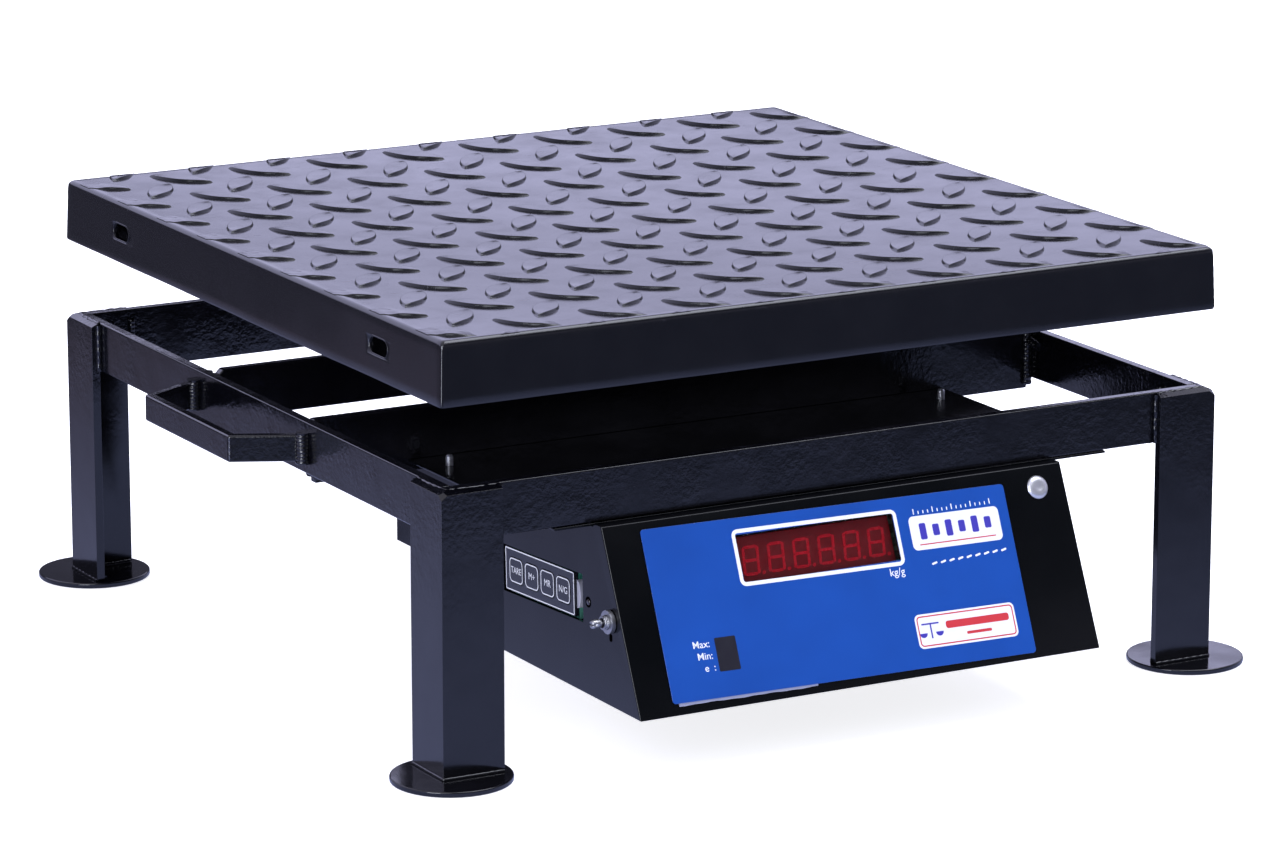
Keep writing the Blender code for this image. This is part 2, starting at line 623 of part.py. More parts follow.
def build_switch():
    """Metal toggle switch: body and bushing, round nut, and a lever on a ball."""
    place_y, place_z = SWITCH_CENTRE
    place = (BOX_LEFT, place_y, place_z)
    bushing_reach = 4.5
    body = add_object("power_switch_body",
                      block((SHEET + GAP, -4, -6.5), (SHEET + GAP + 9, 4, 6.5)), ZINC, place)
    shank = [(0, SHEET + 3), (SWITCH_BUSHING, SHEET + 3), (SWITCH_BUSHING, -bushing_reach),
             (0, -bushing_reach)]
    join(body, turned(shank, 20, "X"), place)
    bore = [(0, 1.0), (2.3, 1.0), (2.3, -bushing_reach - 2), (0, -bushing_reach - 2)]
    cut(body, turned(bore, 20, "X"), place)
    nut = prism(circle(SWITCH_NUT, 24), -GAP - 2.0, -GAP, "YZ")
    nut = add_object("power_switch_nut", nut, ZINC, place)
    cut(nut, prism(circle(SWITCH_BUSHING + GAP, 20), -6, 2, "YZ"), place)
    pivot = (BOX_LEFT - 1.8, place_y, place_z)
    ball = 1.9
    end = -SWITCH_LEVER
    profile = [(0, end), (1.8, end + 0.2), (2.1, end + 0.6), (2.1, -4.6), (1.6, -4.1),
               (1.0, -3.5), (0.95, -1.6)]
    for step in range(1, 6):
        angle = math.radians(30 + 30 * step)
        profile.append((ball * math.sin(angle), -ball * math.cos(angle)))
    profile[-1] = (0, ball)
    lever = turned(profile[::-1], 16, "X")
    add_object("power_switch_lever", lever, ZINC, pivot)


def build_electronics():
    """Main board, rechargeable battery and the charge lamp inside the housing."""
    floor = BOX_BOTTOM + SHEET
    board_low = floor + MAIN_BOARD_RISE
    board_top = board_low + BOARD_THICKNESS
    near, far = MAIN_BOARD
    board = block((*near, board_low), (*far, board_top))
    add_object("main_board", board, BOARD)
    battery_low = STEP_Z + SHEET + GAP
    near, far = BATTERY
    battery = block((*near, battery_low), (*far, battery_low + BATTERY_HEIGHT))
    add_object("battery", battery, DARK_PLASTIC)
    lamp_y, lamp_z = LED_CENTRE
    face = -0.5
    rim = LED_RADIUS + 0.5
    profile = [(0, face), (LED_RADIUS - 0.4, face + 0.3), (LED_RADIUS, face + 1.0),
               (LED_RADIUS, SHEET + GAP), (rim, SHEET + GAP), (rim, SHEET + GAP + 1.2),
               (0, SHEET + GAP + 1.2)]
    lamp = turned(profile[::-1], 16, "X")
    add_object("charge_lamp", lamp, RED, (BOX_LEFT, lamp_y, lamp_z))


clear_scene()
ORIGIN_EMPTY = bpy.data.objects.new("scale_origin", None)
ORIGIN_EMPTY.location = -ORIGIN * MM
bpy.context.scene.collection.objects.link(ORIGIN_EMPTY)

BLACK = make_material("black_enamel", (0.012, 0.013, 0.018), 0.22)
ALUMINIUM = make_material("machined_aluminium", (0.78, 0.79, 0.8), 0.35, 1.0)
ZINC = make_material("zinc_plated_steel", (0.72, 0.72, 0.74), 0.3, 1.0)
RUBBER = make_material("black_rubber", (0.02, 0.02, 0.02), 0.8)
DARK_PLASTIC = make_material("dark_plastic", (0.03, 0.035, 0.05), 0.45)
BLUE = make_material("blue_overlay_film", (0.011, 0.088, 0.497), 0.35)
WINDOW = make_material("clear_window", (0.5, 0.1, 0.1), 0.05, 0.0, 0.35)
RED = make_material("red_digits", (0.16, 0.006, 0.01), 0.4)
BOARD = make_material("green_board", (0.03, 0.16, 0.08), 0.5)

build_legs_and_feet()
build_rails()
build_handle()
build_load_cell()
build_spider()
build_pan()
build_cover()
build_tray()
build_rear_fittings()
build_top_plate()
build_front_fittings()
build_keypad()
build_switch()
build_electronics()
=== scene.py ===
"""Looks of a bench platform scale: a tread-plate pan on a welded stand, with a hung indicator.

Every piece is built round the fixed frame, in metres, with +Z up and the indicator facing -Y.
Sizes in the classes are in millimetres, as on a drawing, and mm() turns them into metres.
"""

import logging
import math
from dataclasses import dataclass
from enum import Enum
from typing import Callable, Iterable, Optional, Sequence

import bmesh
import bpy
from mathutils import Matrix, Vector


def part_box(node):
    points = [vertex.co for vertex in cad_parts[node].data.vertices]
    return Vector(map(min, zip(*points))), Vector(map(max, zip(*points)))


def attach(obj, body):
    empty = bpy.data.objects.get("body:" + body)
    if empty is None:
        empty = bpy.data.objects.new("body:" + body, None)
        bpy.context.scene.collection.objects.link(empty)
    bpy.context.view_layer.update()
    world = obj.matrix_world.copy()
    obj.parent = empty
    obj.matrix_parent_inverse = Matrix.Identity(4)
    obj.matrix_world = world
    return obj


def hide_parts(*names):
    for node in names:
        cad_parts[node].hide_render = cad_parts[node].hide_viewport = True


LOG = logging.getLogger("platform_scale")
Point = tuple[float, float]
Place = tuple[float, float, float]
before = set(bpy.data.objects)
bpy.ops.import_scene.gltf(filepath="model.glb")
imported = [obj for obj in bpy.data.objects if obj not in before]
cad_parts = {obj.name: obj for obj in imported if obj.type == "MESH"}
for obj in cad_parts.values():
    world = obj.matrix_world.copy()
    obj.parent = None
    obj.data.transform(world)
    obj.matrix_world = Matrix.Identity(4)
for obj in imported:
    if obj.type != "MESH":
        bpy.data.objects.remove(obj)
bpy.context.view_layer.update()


def mm(value: float) -> float:
    """Millimetres to metres."""
    return value * 0.001


class Body(Enum):
    """The rigid bodies that pieces ride on."""

    STAND = "stand"
    CARRIER = "load_carrier"
    PAN = "pan"
    LEVER = "switch_lever"
    KEY_TARE = "key_tare_cap"
    KEY_ZERO = "key_zero_cap"
    KEY_UNIT = "key_unit_cap"
    KEY_TOTAL = "key_total_cap"


class Slot(Enum):
    """Material slots of the record."""

    ENAMEL = "black_enamel"
    ALUMINIUM = "machined_aluminium"
    ZINC = "zinc_plated_steel"
    RUBBER = "black_rubber"
    PLASTIC = "dark_plastic"
    FILM = "blue_overlay_film"
    WINDOW = "clear_window"
    DIGITS = "red_digits"
    BOARD = "green_board"


# Signs of x and y at the four corners of the stand
CORNERS = ((-1, -1), (-1, 1), (1, -1), (1, 1))


# ------------------------------------------------------------------ nodes and finishes


def linear(hex_colour: str) -> tuple[float, float, float, float]:
    """Turn an sRGB hex colour into linear RGBA with an alpha of 1."""
    digits = hex_colour.lstrip("#")
    channels = [int(digits[i : i + 2], 16) / 255 for i in (0, 2, 4)]
    return (*[c / 12.92 if c <= 0.04045 else ((c + 0.055) / 1.055) ** 2.4 for c in channels], 1.0)


def add_node(tree: bpy.types.NodeTree, kind: str, inputs: Optional[dict] = None, **settings) -> bpy.types.Node:
    """Add a node, set its properties and fill or link its inputs.

    Args:
        tree: Node tree to add to.
        kind: Blender's node type.
        inputs: Input name or index to a value, or to the output socket to link.
        **settings: Properties set on the node itself.

    Returns:
        The new node.
    """
    node = tree.nodes.new(kind)
    for name, value in settings.items():
        setattr(node, name, value)
    for name, value in (inputs or {}).items():
        if isinstance(value, bpy.types.NodeSocket):
            tree.links.new(value, node.inputs[name])
        else:
            node.inputs[name].default_value = value
    return node


@dataclass(frozen=True)
class Finish:
    """A surface finish: one Principled shader with constant settings and optional texture.

    Attributes:
        name: Common name of the material and how its surface was made.
        slot: Slot of the record that it belongs to.
        colour: sRGB hex of the base colour.
        roughness: Roughness of the bare surface.
        accent: sRGB hex of the second shade in its texture.
        texture: Function that adds colour, roughness and bump to the shader.
    """

    name: str
    slot: Slot
    colour: str
    roughness: float
    metallic: float = 0.0
    ior: float = 1.5
    coat: float = 0.0
    coat_roughness: float = 0.05
    alpha: float = 1.0
    accent: str = "#15151d"
    texture: Optional[Callable] = None

    def material(self) -> bpy.types.Material:
        """Return the Blender material, made on first use."""
        found = bpy.data.materials.get(self.name)
        if found:
            return found
        made = bpy.data.materials.new(self.name)
        made.use_nodes = True
        shader = made.node_tree.nodes["Principled BSDF"]
        shader.inputs["Base Color"].default_value = linear(self.colour)
        shader.inputs["Roughness"].default_value = self.roughness
        shader.inputs["Metallic"].default_value = self.metallic
        shader.inputs["IOR"].default_value = self.ior
        shader.inputs["Coat Weight"].default_value = self.coat
        shader.inputs["Coat Roughness"].default_value = self.coat_roughness
        shader.inputs["Alpha"].default_value = self.alpha
        if self.texture:
            self.texture(made.node_tree, shader, self)
        return made


def calc(tree, operation: str, first, second=0.0, **settings) -> bpy.types.NodeSocket:
    """One math node's result."""
    return add_node(tree, "ShaderNodeMath", {0: first, 1: second}, operation=operation, **settings).outputs[0]


def xyz(tree, vector) -> bpy.types.NodeOutputs:
    """The X, Y and Z parts of a vector."""
    return add_node(tree, "ShaderNodeSeparateXYZ", {0: vector}).outputs


def object_coordinates(tree: bpy.types.NodeTree) -> bpy.types.NodeSocket:
    """Object coordinates, which on these pieces are metres in the scale's own frame."""
    return add_node(tree, "ShaderNodeTexCoord").outputs["Object"]


def noise(tree: bpy.types.NodeTree, size: float, detail: float = 2.0, where=None) -> bpy.types.NodeSocket:
    """Noise whose blotches are about size millimetres across, read at Object coordinates or at where."""
    where = where or object_coordinates(tree)
    settings = {"Vector": where, "Scale": 1.0 / mm(size), "Detail": detail, "Roughness": 0.55}
    return add_node(tree, "ShaderNodeTexNoise", settings).outputs["Fac"]


def remap(tree, value, low: float, high: float, to_low: float, to_high: float) -> bpy.types.NodeSocket:
    """Map a value from one range to another, clamped."""
    settings = {"Value": value, "From Min": low, "From Max": high, "To Min": to_low, "To Max": to_high}
    return add_node(tree, "ShaderNodeMapRange", settings).outputs["Result"]


def bump(tree, height, depth: float, under=None) -> bpy.types.NodeSocket:
    """Bump of a real depth, in millimetres, laid over another bump."""
    settings = {"Height": height, "Distance": mm(depth), "Strength": 1.0}
    if under:
        settings["Normal"] = under
    return add_node(tree, "ShaderNodeBump", settings).outputs["Normal"]


def grain(tree, size: float, detail: float, depth: float, under=None) -> bpy.types.NodeSocket:
    """Bump of noise, its blotches and depth in millimetres."""
    return bump(tree, noise(tree, size, detail), depth, under)


def cloud_gloss(tree, shader, finish, size: float, detail: float, extra: float, low=0.35, high=0.75) -> None:
    """Vary the roughness in clouds, from the finish's own to extra above it."""
    rough = remap(tree, noise(tree, size, detail), low, high, finish.roughness, finish.roughness + extra)
    tree.links.new(rough, shader.inputs["Roughness"])


def mix_colour(tree, factor, first, second) -> bpy.types.NodeSocket:
    """Mix two colours, given as hex text or as sockets."""
    node = add_node(tree, "ShaderNodeMix", {0: factor}, data_type="RGBA")
    for index, colour in ((6, first), (7, second)):
        if isinstance(colour, str):
            node.inputs[index].default_value = linear(colour)
        else:
            tree.links.new(colour, node.inputs[index])
    return node.outputs[2]


def enamel_texture(tree, shader, finish: Finish) -> None:
    """Air-dried gloss enamel: wrinkled orange peel in patches, brush waves, dust nibs and dull clouds."""
    upper = remap(tree, xyz(tree, object_coordinates(tree))["Z"], mm(62.0), mm(112.0), 0.12, 1.0)
    patch = remap(tree, noise(tree, 26.0, 2.0), 0.38, 0.62, 0.22, 1.0)
    lumps = calc(tree, "MULTIPLY", noise(tree, 2.4, 3.0), calc(tree, "MULTIPLY", patch, upper))
    waves = grain(tree, 24.0, 1.0, 0.2, bump(tree, lumps, 0.21))
    cells = {"Vector": object_coordinates(tree), "Scale": 1.0 / mm(7.0), "Randomness": 1.0}
    nibs = add_node(tree, "ShaderNodeTexVoronoi", cells).outputs["Distance"]
    raised = remap(tree, nibs, 0.0, 0.06, 1.0, 0.0)
    tree.links.new(bump(tree, raised, 0.04, waves), shader.inputs["Normal"])
    cloud_gloss(tree, shader, finish, 34.0, 3.0, 0.1)
    tint = remap(tree, noise(tree, 11.0, 4.0), 0.4, 0.8, 0.0, 1.0)
    tree.links.new(mix_colour(tree, tint, finish.colour, finish.accent), shader.inputs["Base Color"])


def smooth_enamel_texture(tree, shader, finish: Finish) -> None:
    """Sprayed enamel on sheet: fine even peel and faint oil-canning of the sheet."""
    tree.links.new(grain(tree, 60.0, 1.0, 0.3, grain(tree, 2.0, 2.0, 0.012)), shader.inputs["Normal"])
    cloud_gloss(tree, shader, finish, 34.0, 3.0, 0.1)


def tread_texture(tree, shader, finish: Finish) -> None:
    """Enamelled tread plate: softer peel, rolled-in waves, and fine scratches on its top."""
    waves = grain(tree, 45.0, 1.5, 0.22, grain(tree, 3.0, 2.0, 0.010))
    turn = {"Vector": object_coordinates(tree), "Rotation": (0.0, 0.0, math.radians(38.0)), "Scale": (1.0, 14.0, 1.0)}
    along = add_node(tree, "ShaderNodeMapping", turn).outputs["Vector"]
    top = remap(tree, xyz(tree, object_coordinates(tree))["Z"], mm(194.0), mm(195.0), 0.0, 1.0)
    scratches = calc(tree, "MULTIPLY", remap(tree, noise(tree, 16.0, 3.0, along), 0.66, 0.72, 0.0, 1.0), top)
    tree.links.new(bump(tree, scratches, 0.012, waves), shader.inputs["Normal"])
    dull = remap(tree, noise(tree, 22.0, 4.0), 0.35, 0.75, finish.roughness, finish.roughness + 0.12)
    worn = calc(tree, "ADD", dull, calc(tree, "MULTIPLY", scratches, 0.12))
    tree.links.new(worn, shader.inputs["Roughness"])
    tree.links.new(mix_colour(tree, scratches, finish.colour, "#2b2b33"), shader.inputs["Base Color"])


def film_texture(tree, shader, finish: Finish) -> None:
    """Reverse-printed polycarbonate film: a fine velvet grain over slightly uneven ink."""
    tree.links.new(grain(tree, 38.0, 1.0, 0.08, grain(tree, 0.45, 2.0, 0.006)), shader.inputs["Normal"])
    uneven = remap(tree, noise(tree, 30.0, 2.0), 0.3, 0.7, 0.0, 1.0)
    tree.links.new(mix_colour(tree, uneven, finish.colour, finish.accent), shader.inputs["Base Color"])


def ink_texture(tree, shader, finish: Finish) -> None:
    """Screen-printed ink: a faint mesh grain."""
    tree.links.new(grain(tree, 0.4, 1.0, 0.004), shader.inputs["Normal"])
    cloud_gloss(tree, shader, finish, 4.0, 2.0, 0.1, 0.3, 0.7)


def metal_texture(tree, shader, finish: Finish) -> None:
    """Bright zinc plate: tiny pits, cloudy passivation and handling marks."""
    tree.links.new(grain(tree, 0.5, 3.0, 0.008), shader.inputs["Normal"])
    cloud_gloss(tree, shader, finish, 3.5, 3.0, 0.2, 0.3, 0.75)
    tree.links.new(mix_colour(tree, noise(tree, 3.5, 3.0), finish.colour, "#9da0a8"), shader.inputs["Base Color"])


def milled_texture(tree, shader, finish: Finish) -> None:
    """Milled aluminium bar: cutter lines 0.8 mm apart along its length, with light oxide clouds."""
    cuts = {"Vector": object_coordinates(tree), "Scale": 1.0 / mm(0.8) / 20.0, "Distortion": 1.2, "Detail": 2.0}
    lines = add_node(tree, "ShaderNodeTexWave", cuts, bands_direction="X").outputs["Fac"]
    tree.links.new(bump(tree, lines, 0.01), shader.inputs["Normal"])
    cloud_gloss(tree, shader, finish, 9.0, 3.0, 0.18, 0.3, 0.7)


def moulded_texture(tree, shader, finish: Finish) -> None:
    """Moulded surface: fine spark-eroded grain and slight shade changes."""
    tree.links.new(grain(tree, 0.6, 3.0, 0.03), shader.inputs["Normal"])
    cloud_gloss(tree, shader, finish, 8.0, 2.0, 0.12, 0.3, 0.7)


def board_texture(tree, shader, finish: Finish) -> None:
    """Solder-masked circuit board: copper tracks show as paler lines under the green mask."""
    bricks = {"Vector": object_coordinates(tree), "Scale": 1.0 / mm(9.0), "Mortar Size": 0.05}
    bricks |= {"Brick Width": 0.8, "Row Height": 0.28}
    bricks |= {"Color1": linear(finish.colour), "Color2": linear(finish.accent), "Mortar": linear("#5aa08c")}
    tracks = add_node(tree, "ShaderNodeTexBrick", bricks)
    tree.links.new(tracks.outputs["Color"], shader.inputs["Base Color"])
    tree.links.new(bump(tree, tracks.outputs["Fac"], 0.03), shader.inputs["Normal"])


# Gloss black air-drying enamel on steel: near black, a wet-looking gloss broken by orange peel.
ENAMEL = Finish("gloss_black_enamel_on_steel", Slot.ENAMEL, "#06060a", 0.1, accent="#0b0b10", texture=enamel_texture)
# The same enamel sprayed on folded sheet, where it lies flatter.
SHEET_ENAMEL = Finish(
    "sprayed_black_enamel_on_sheet", Slot.ENAMEL, "#040507", 0.16, ior=1.32, texture=smooth_enamel_texture
)
# The same enamel on hot-rolled tread plate: a little flatter, scratched by use.
TREAD = Finish("gloss_black_enamel_on_tread_plate", Slot.ENAMEL, "#0b0b10", 0.13, texture=tread_texture)
# Bright zinc-plated steel, as barrelled: pale grey metal with soft, cloudy reflections.
ZINC = Finish("zinc_plated_steel", Slot.ZINC, "#b4b6c2", 0.34, metallic=1.0, texture=metal_texture)
# Nickel-plated brass of the toggle switch: warmer and brighter than zinc.
NICKEL = Finish("nickel_plated_brass", Slot.ZINC, "#b9b7b4", 0.32, metallic=1.0, texture=metal_texture)
# Milled 2024 aluminium bar: pale and silky, with cutter lines.
ALUMINIUM = Finish("milled_aluminium_bar", Slot.ALUMINIUM, "#c9cbcf", 0.3, metallic=1.0, texture=milled_texture)
# Moulded nitrile rubber: matte, nearly black.
RUBBER = Finish("moulded_nitrile_rubber", Slot.RUBBER, "#17171a", 0.72, texture=moulded_texture)
# Spark-grained black ABS.
ABS = Finish("grained_black_abs", Slot.PLASTIC, "#15161b", 0.42, texture=moulded_texture)
# Black polyester membrane of the keypad: satin, slightly bluish.
MEMBRANE = Finish("black_polyester_membrane", Slot.PLASTIC, "#14161c", 0.26, accent="#191b22", texture=film_texture)
# Blue reverse-printed polycarbonate overlay: the colour sits under a velvet skin.
BLUE_FILM = Finish(
    "blue_printed_polycarbonate_film", Slot.FILM, "#0f459a", 0.3, accent="#124aa3", texture=film_texture
)
WHITE_INK = Finish("white_screen_ink", Slot.FILM, "#e9ecf4", 0.4, texture=ink_texture)
RED_INK = Finish("red_screen_ink", Slot.FILM, "#c8313b", 0.4, texture=ink_texture)
VIOLET_INK = Finish("violet_screen_ink", Slot.FILM, "#3a33a6", 0.4, texture=ink_texture)
BLACK_INK = Finish("black_screen_ink", Slot.FILM, "#1c1b26", 0.3, texture=ink_texture)
# Clear polycarbonate window over the digits: nearly all seen through, with a gloss of its own.
CLEAR = Finish("clear_polycarbonate_window", Slot.WINDOW, "#2a0306", 0.06, alpha=0.1)
# Red-dyed epoxy faces of the digits: deep red, with the unlit bars a shade apart.
RED_FACE = Finish("red_dyed_epoxy_face", Slot.DIGITS, "#62040b", 0.3, texture=ink_texture)
RED_BAR = Finish("unlit_red_segment", Slot.DIGITS, "#a3111f", 0.22, texture=ink_texture)
# Painted shade: a flat near-black patch laid in a hole or gap, standing for the shade inside it.
HOLE_SHADE = Finish("painted_shade_in_hole", Slot.RUBBER, "#020203", 1.0, ior=1.02)
RED_LENS = Finish("red_lamp_lens", Slot.DIGITS, "#16060a", 0.1, coat=0.5)
MASK = Finish("green_solder_mask", Slot.BOARD, "#2c7163", 0.35, coat=0.3, accent="#1f6152", texture=board_texture)
# Pale grey for the thin strip along the film's lifted lower edge: a painted highlight where that edge catches the
# light.
EDGE_HIGHLIGHT = Finish("painted_highlight_on_film_edge", Slot.FILM, "#8f93ad", 0.35, texture=ink_texture)
WHITE_TAPE = Finish("white_foam_tape", Slot.BOARD, "#a9abba", 0.6, texture=moulded_texture)


# ------------------------------------------------------------------ mesh helpers


def linked(name: str, data: Optional[bpy.types.ID]) -> bpy.types.Object:
    """Make an object of some data and put it in the scene."""
    made = bpy.data.objects.new(name, data)
    bpy.context.scene.collection.objects.link(made)
    return made


def new_object(name: str, shape: bmesh.types.BMesh, smooth_angle: float = 35.0) -> bpy.types.Object:
    """Make an object at the origin from a bmesh in metres, and free the bmesh."""
    mesh = bpy.data.meshes.new(name)
    shape.to_mesh(mesh)
    shape.free()
    mesh.shade_smooth()
    mesh.set_sharp_from_angle(angle=math.radians(smooth_angle))
    return linked(name, mesh)


def baked(source: bpy.types.Object, name: str) -> bpy.types.Object:
    """Replace an object and its modifiers by a plain mesh object of the same shape."""
    bpy.context.view_layer.update()
    evaluated = source.evaluated_get(bpy.context.evaluated_depsgraph_get())
    mesh = bpy.data.meshes.new_from_object(evaluated)
    bpy.data.objects.remove(source)
    mesh.name = name
    return linked(name, mesh)


def cut(piece: bpy.types.Object, tool: bpy.types.Object, name: str) -> bpy.types.Object:
    """Cut a tool's shape out of a piece, then drop the tool."""
    modifier = piece.modifiers.new("cut", "BOOLEAN")
    modifier.operation = "DIFFERENCE"
    modifier.object = tool
    made = baked(piece, name)
    bpy.data.objects.remove(tool)
    return made


def install(piece: bpy.types.Object, finish: Finish, *nodes: str, body: Body = Body.STAND) -> bpy.types.Object:
    """Give a piece its finish and body, and let it stand for CAD nodes.

    Args:
        piece: Finished object at the origin.
        finish: Its finish.
        *nodes: CAD nodes that it replaces.
        body: Body that it rides on.

    Returns:
        The same object.
    """
    piece.data.materials.clear()
    piece.data.materials.append(finish.material())
    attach(piece, body.value)
    if nodes:
        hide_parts(*nodes)
    LOG.info("%s: %d faces on %s", piece.name, len(piece.data.polygons), body.value)
    return piece


def merged_copy(node: str) -> bmesh.types.BMesh:
    """A CAD node's shape with its loose triangles merged back into flat faces."""
    shape = bmesh.new()
    shape.from_mesh(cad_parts[node].data)
    bmesh.ops.remove_doubles(shape, verts=shape.verts, dist=1e-6)
    bmesh.ops.dissolve_limit(shape, angle_limit=math.radians(0.5), verts=shape.verts, edges=shape.edges)
    return shape


def round_folds(shape: bmesh.types.BMesh, radius: float) -> None:
    """Round the outside of sheet folds: long convex edges between two broad faces."""
    long_edge, broad_face, sharp = mm(25), 0.0006, math.radians(15)
    folds = []
    for edge in shape.edges:
        faces = edge.link_faces
        if len(faces) == 2 and edge.is_convex and edge.calc_length() >= long_edge:
            if min(face.calc_area() for face in faces) > broad_face and edge.calc_face_angle() > sharp:
                folds.append(edge)
    if folds:
        rounding = {"offset": mm(radius), "segments": 4, "profile": 0.5, "affect": "EDGES", "clamp_overlap": True}
        bmesh.ops.bevel(shape, geom=folds, **rounding)


def trim(shape: bmesh.types.BMesh, point: Vector, normal: Vector) -> None:
    """Cut off what lies beyond a plane and close the cut."""
    everything = shape.verts[:] + shape.edges[:] + shape.faces[:]
    bmesh.ops.bisect_plane(shape, geom=everything, plane_co=point, plane_no=normal, clear_outer=True, dist=1e-7)
    bmesh.ops.holes_fill(shape, edges=[edge for edge in shape.edges if edge.is_boundary], sides=0)


def softened(
    node: str, width: float, segments: int = 3, angle: float = 35.0, fold: float = 0.0, trims: Sequence[tuple] = ()
) -> bpy.types.Object:
    """A copy of a CAD node with its sharp edges rounded.

    Args:
        node: CAD node to copy.
        width: Width of the rounding in millimetres.
        segments: Steps across the rounding.
        angle: Edges sharper than this, in degrees, are rounded.
        fold: Radius of sheet folds in millimetres, or 0 for none.
        trims: Points and normals of planes that cut corners off.

    Returns:
        A plain mesh object called NODE_finished.
    """
    shape = merged_copy(node)
    if fold:
        round_folds(shape, fold)
    for point, normal in trims:
        trim(shape, point, normal)
    rough = new_object(node + "_rough", shape, 30.0)
    bevel = rough.modifiers.new("rounding", "BEVEL")
    bevel.width = mm(width)
    bevel.segments = segments
    bevel.limit_method = "ANGLE"
    bevel.angle_limit = math.radians(angle)
    bevel.harden_normals = True
    return baked(rough, node + "_finished")


def dress(node: str, width: float, finish: Finish, body: Body = Body.STAND, **rounding) -> bpy.types.Object:
    """Install a softened copy of a CAD node in its place."""
    return install(softened(node, width, **rounding), finish, node, body=body)


def outward(shape: bmesh.types.BMesh) -> bmesh.types.BMesh:
    """Turn every face outward and return the shape."""
    bmesh.ops.recalc_face_normals(shape, faces=shape.faces)
    return shape


def bridge(shape: bmesh.types.BMesh, loops: Sequence[list], closed: bool = False) -> None:
    """Skin each loop of vertices to the next; closed also joins the last to the first."""
    for first, second in zip(loops, loops[1:] + loops[:1] if closed else loops[1:]):
        for step in range(len(first)):
            after = (step + 1) % len(first)
            shape.faces.new((first[step], first[after], second[after], second[step]))


def prism(outline: Sequence[Point], low: float, high: float) -> bmesh.types.BMesh:
    """Push an outline in millimetres from low to high along Z; the result is in metres."""
    shape = bmesh.new()
    face = shape.faces.new([shape.verts.new((mm(x), mm(y), mm(low))) for x, y in outline])
    pushed = bmesh.ops.extrude_face_region(shape, geom=[face])["geom"]
    top = [part for part in pushed if isinstance(part, bmesh.types.BMVert)]
    bmesh.ops.translate(shape, verts=top, vec=(0, 0, mm(high - low)))
    return outward(shape)


def ring_prism(outer: Sequence[Point], inner: Sequence[Point], low: float, high: float) -> bmesh.types.BMesh:
    """A flat frame between two outlines with the same number of points."""
    shape = bmesh.new()
    sides = ((outer, low), (outer, high), (inner, high), (inner, low))
    bridge(shape, [[shape.verts.new((mm(x), mm(y), mm(z))) for x, y in outline] for outline, z in sides], True)
    return outward(shape)


def rounded(width: float, height: float, radius: float, steps: int = 6) -> list[Point]:
    """Outline of a rectangle with round corners about the origin."""
    points = []
    for quarter, (side_x, side_y) in enumerate(((1, 1), (-1, 1), (-1, -1), (1, -1))):
        corner = (side_x * (width / 2 - radius), side_y * (height / 2 - radius))
        points += arc(corner, radius, 90 * quarter, 90 * quarter + 90, steps)
    return points


def turned(profile: Sequence[Point], steps: int = 40) -> bmesh.types.BMesh:
    """Turn a closed (radius, height) profile in millimetres about Z, top to bottom outside."""
    shape = bmesh.new()
    angles = [2 * math.pi * step / steps for step in range(steps)]
    rings = []
    for radius, height in profile:
        around = angles if radius > 1e-6 else angles[:1]
        points = [(radius * math.cos(angle), radius * math.sin(angle)) for angle in around]
        rings.append([shape.verts.new((mm(x), mm(y), mm(height))) for x, y in points])
    for upper, lower in zip(rings, rings[1:] + rings[:1]):
        for step in range(steps):
            corners = [(upper, step), (upper, step + 1), (lower, step + 1), (lower, step)]
            kept = list(dict.fromkeys(ring[index % len(ring)] for ring, index in corners))
            if len(kept) > 2:
                shape.faces.new(kept)
    return outward(shape)


def arc(centre: Point, radius: float, start: float, end: float, steps: int) -> list[Point]:
    """Points of an arc between two angles in degrees."""
    angles = [math.radians(start + (end - start) * step / steps) for step in range(steps + 1)]
    return [(centre[0] + radius * math.cos(a), centre[1] + radius * math.sin(a)) for a in angles]


def placed(shape: bmesh.types.BMesh, matrix: Matrix) -> bmesh.types.BMesh:
    """Move a bmesh's vertices by a matrix and return it."""
    bmesh.ops.transform(shape, matrix=matrix, verts=shape.verts)
    return shape


def joined(shapes: Iterable[bmesh.types.BMesh]) -> bmesh.types.BMesh:
    """Join shapes into one and free them."""
    whole = bmesh.new()
    for part in shapes:
        mesh = bpy.data.meshes.new("part")
        part.to_mesh(mesh)
        part.free()
        whole.from_mesh(mesh)
    return whole


def lettering(words: str, size: float, align: str, low: float, high: float, weight: float = 0.0) -> bmesh.types.BMesh:
    """Flat lettering as a solid shape.

    Args:
        words: Generic words or signs.
        size: Letter size in millimetres.
        align: LEFT, CENTER or RIGHT.
        low: Height of the underside in millimetres.
        high: Height of the face in millimetres.
        weight: How much the strokes are thickened, in millimetres.

    Returns:
        The letters in their own frame, in metres.
    """
    curve = bpy.data.curves.new("letters", "FONT")
    curve.body = words
    curve.size = mm(size)
    curve.extrude = mm(high - low) / 2
    curve.offset = mm(weight)
    curve.resolution_u = 3
    curve.align_x = align
    curve.align_y = "CENTER"
    solid = baked(linked("letters", curve), "letters_solid")
    shape = bmesh.new()
    shape.from_mesh(solid.data)
    bpy.data.objects.remove(solid)
    bmesh.ops.remove_doubles(shape, verts=shape.verts, dist=1e-7)
    return placed(shape, Matrix.Translation((0, 0, mm(low + high) / 2)))


def facing(direction: Vector, at: Vector) -> Matrix:
    """Matrix that puts a shape built along +Z at a point, along a direction."""
    return Matrix.Translation(at) @ direction.to_track_quat("Z", "Y").to_matrix().to_4x4()


# ------------------------------------------------------------------ geometry nodes helpers


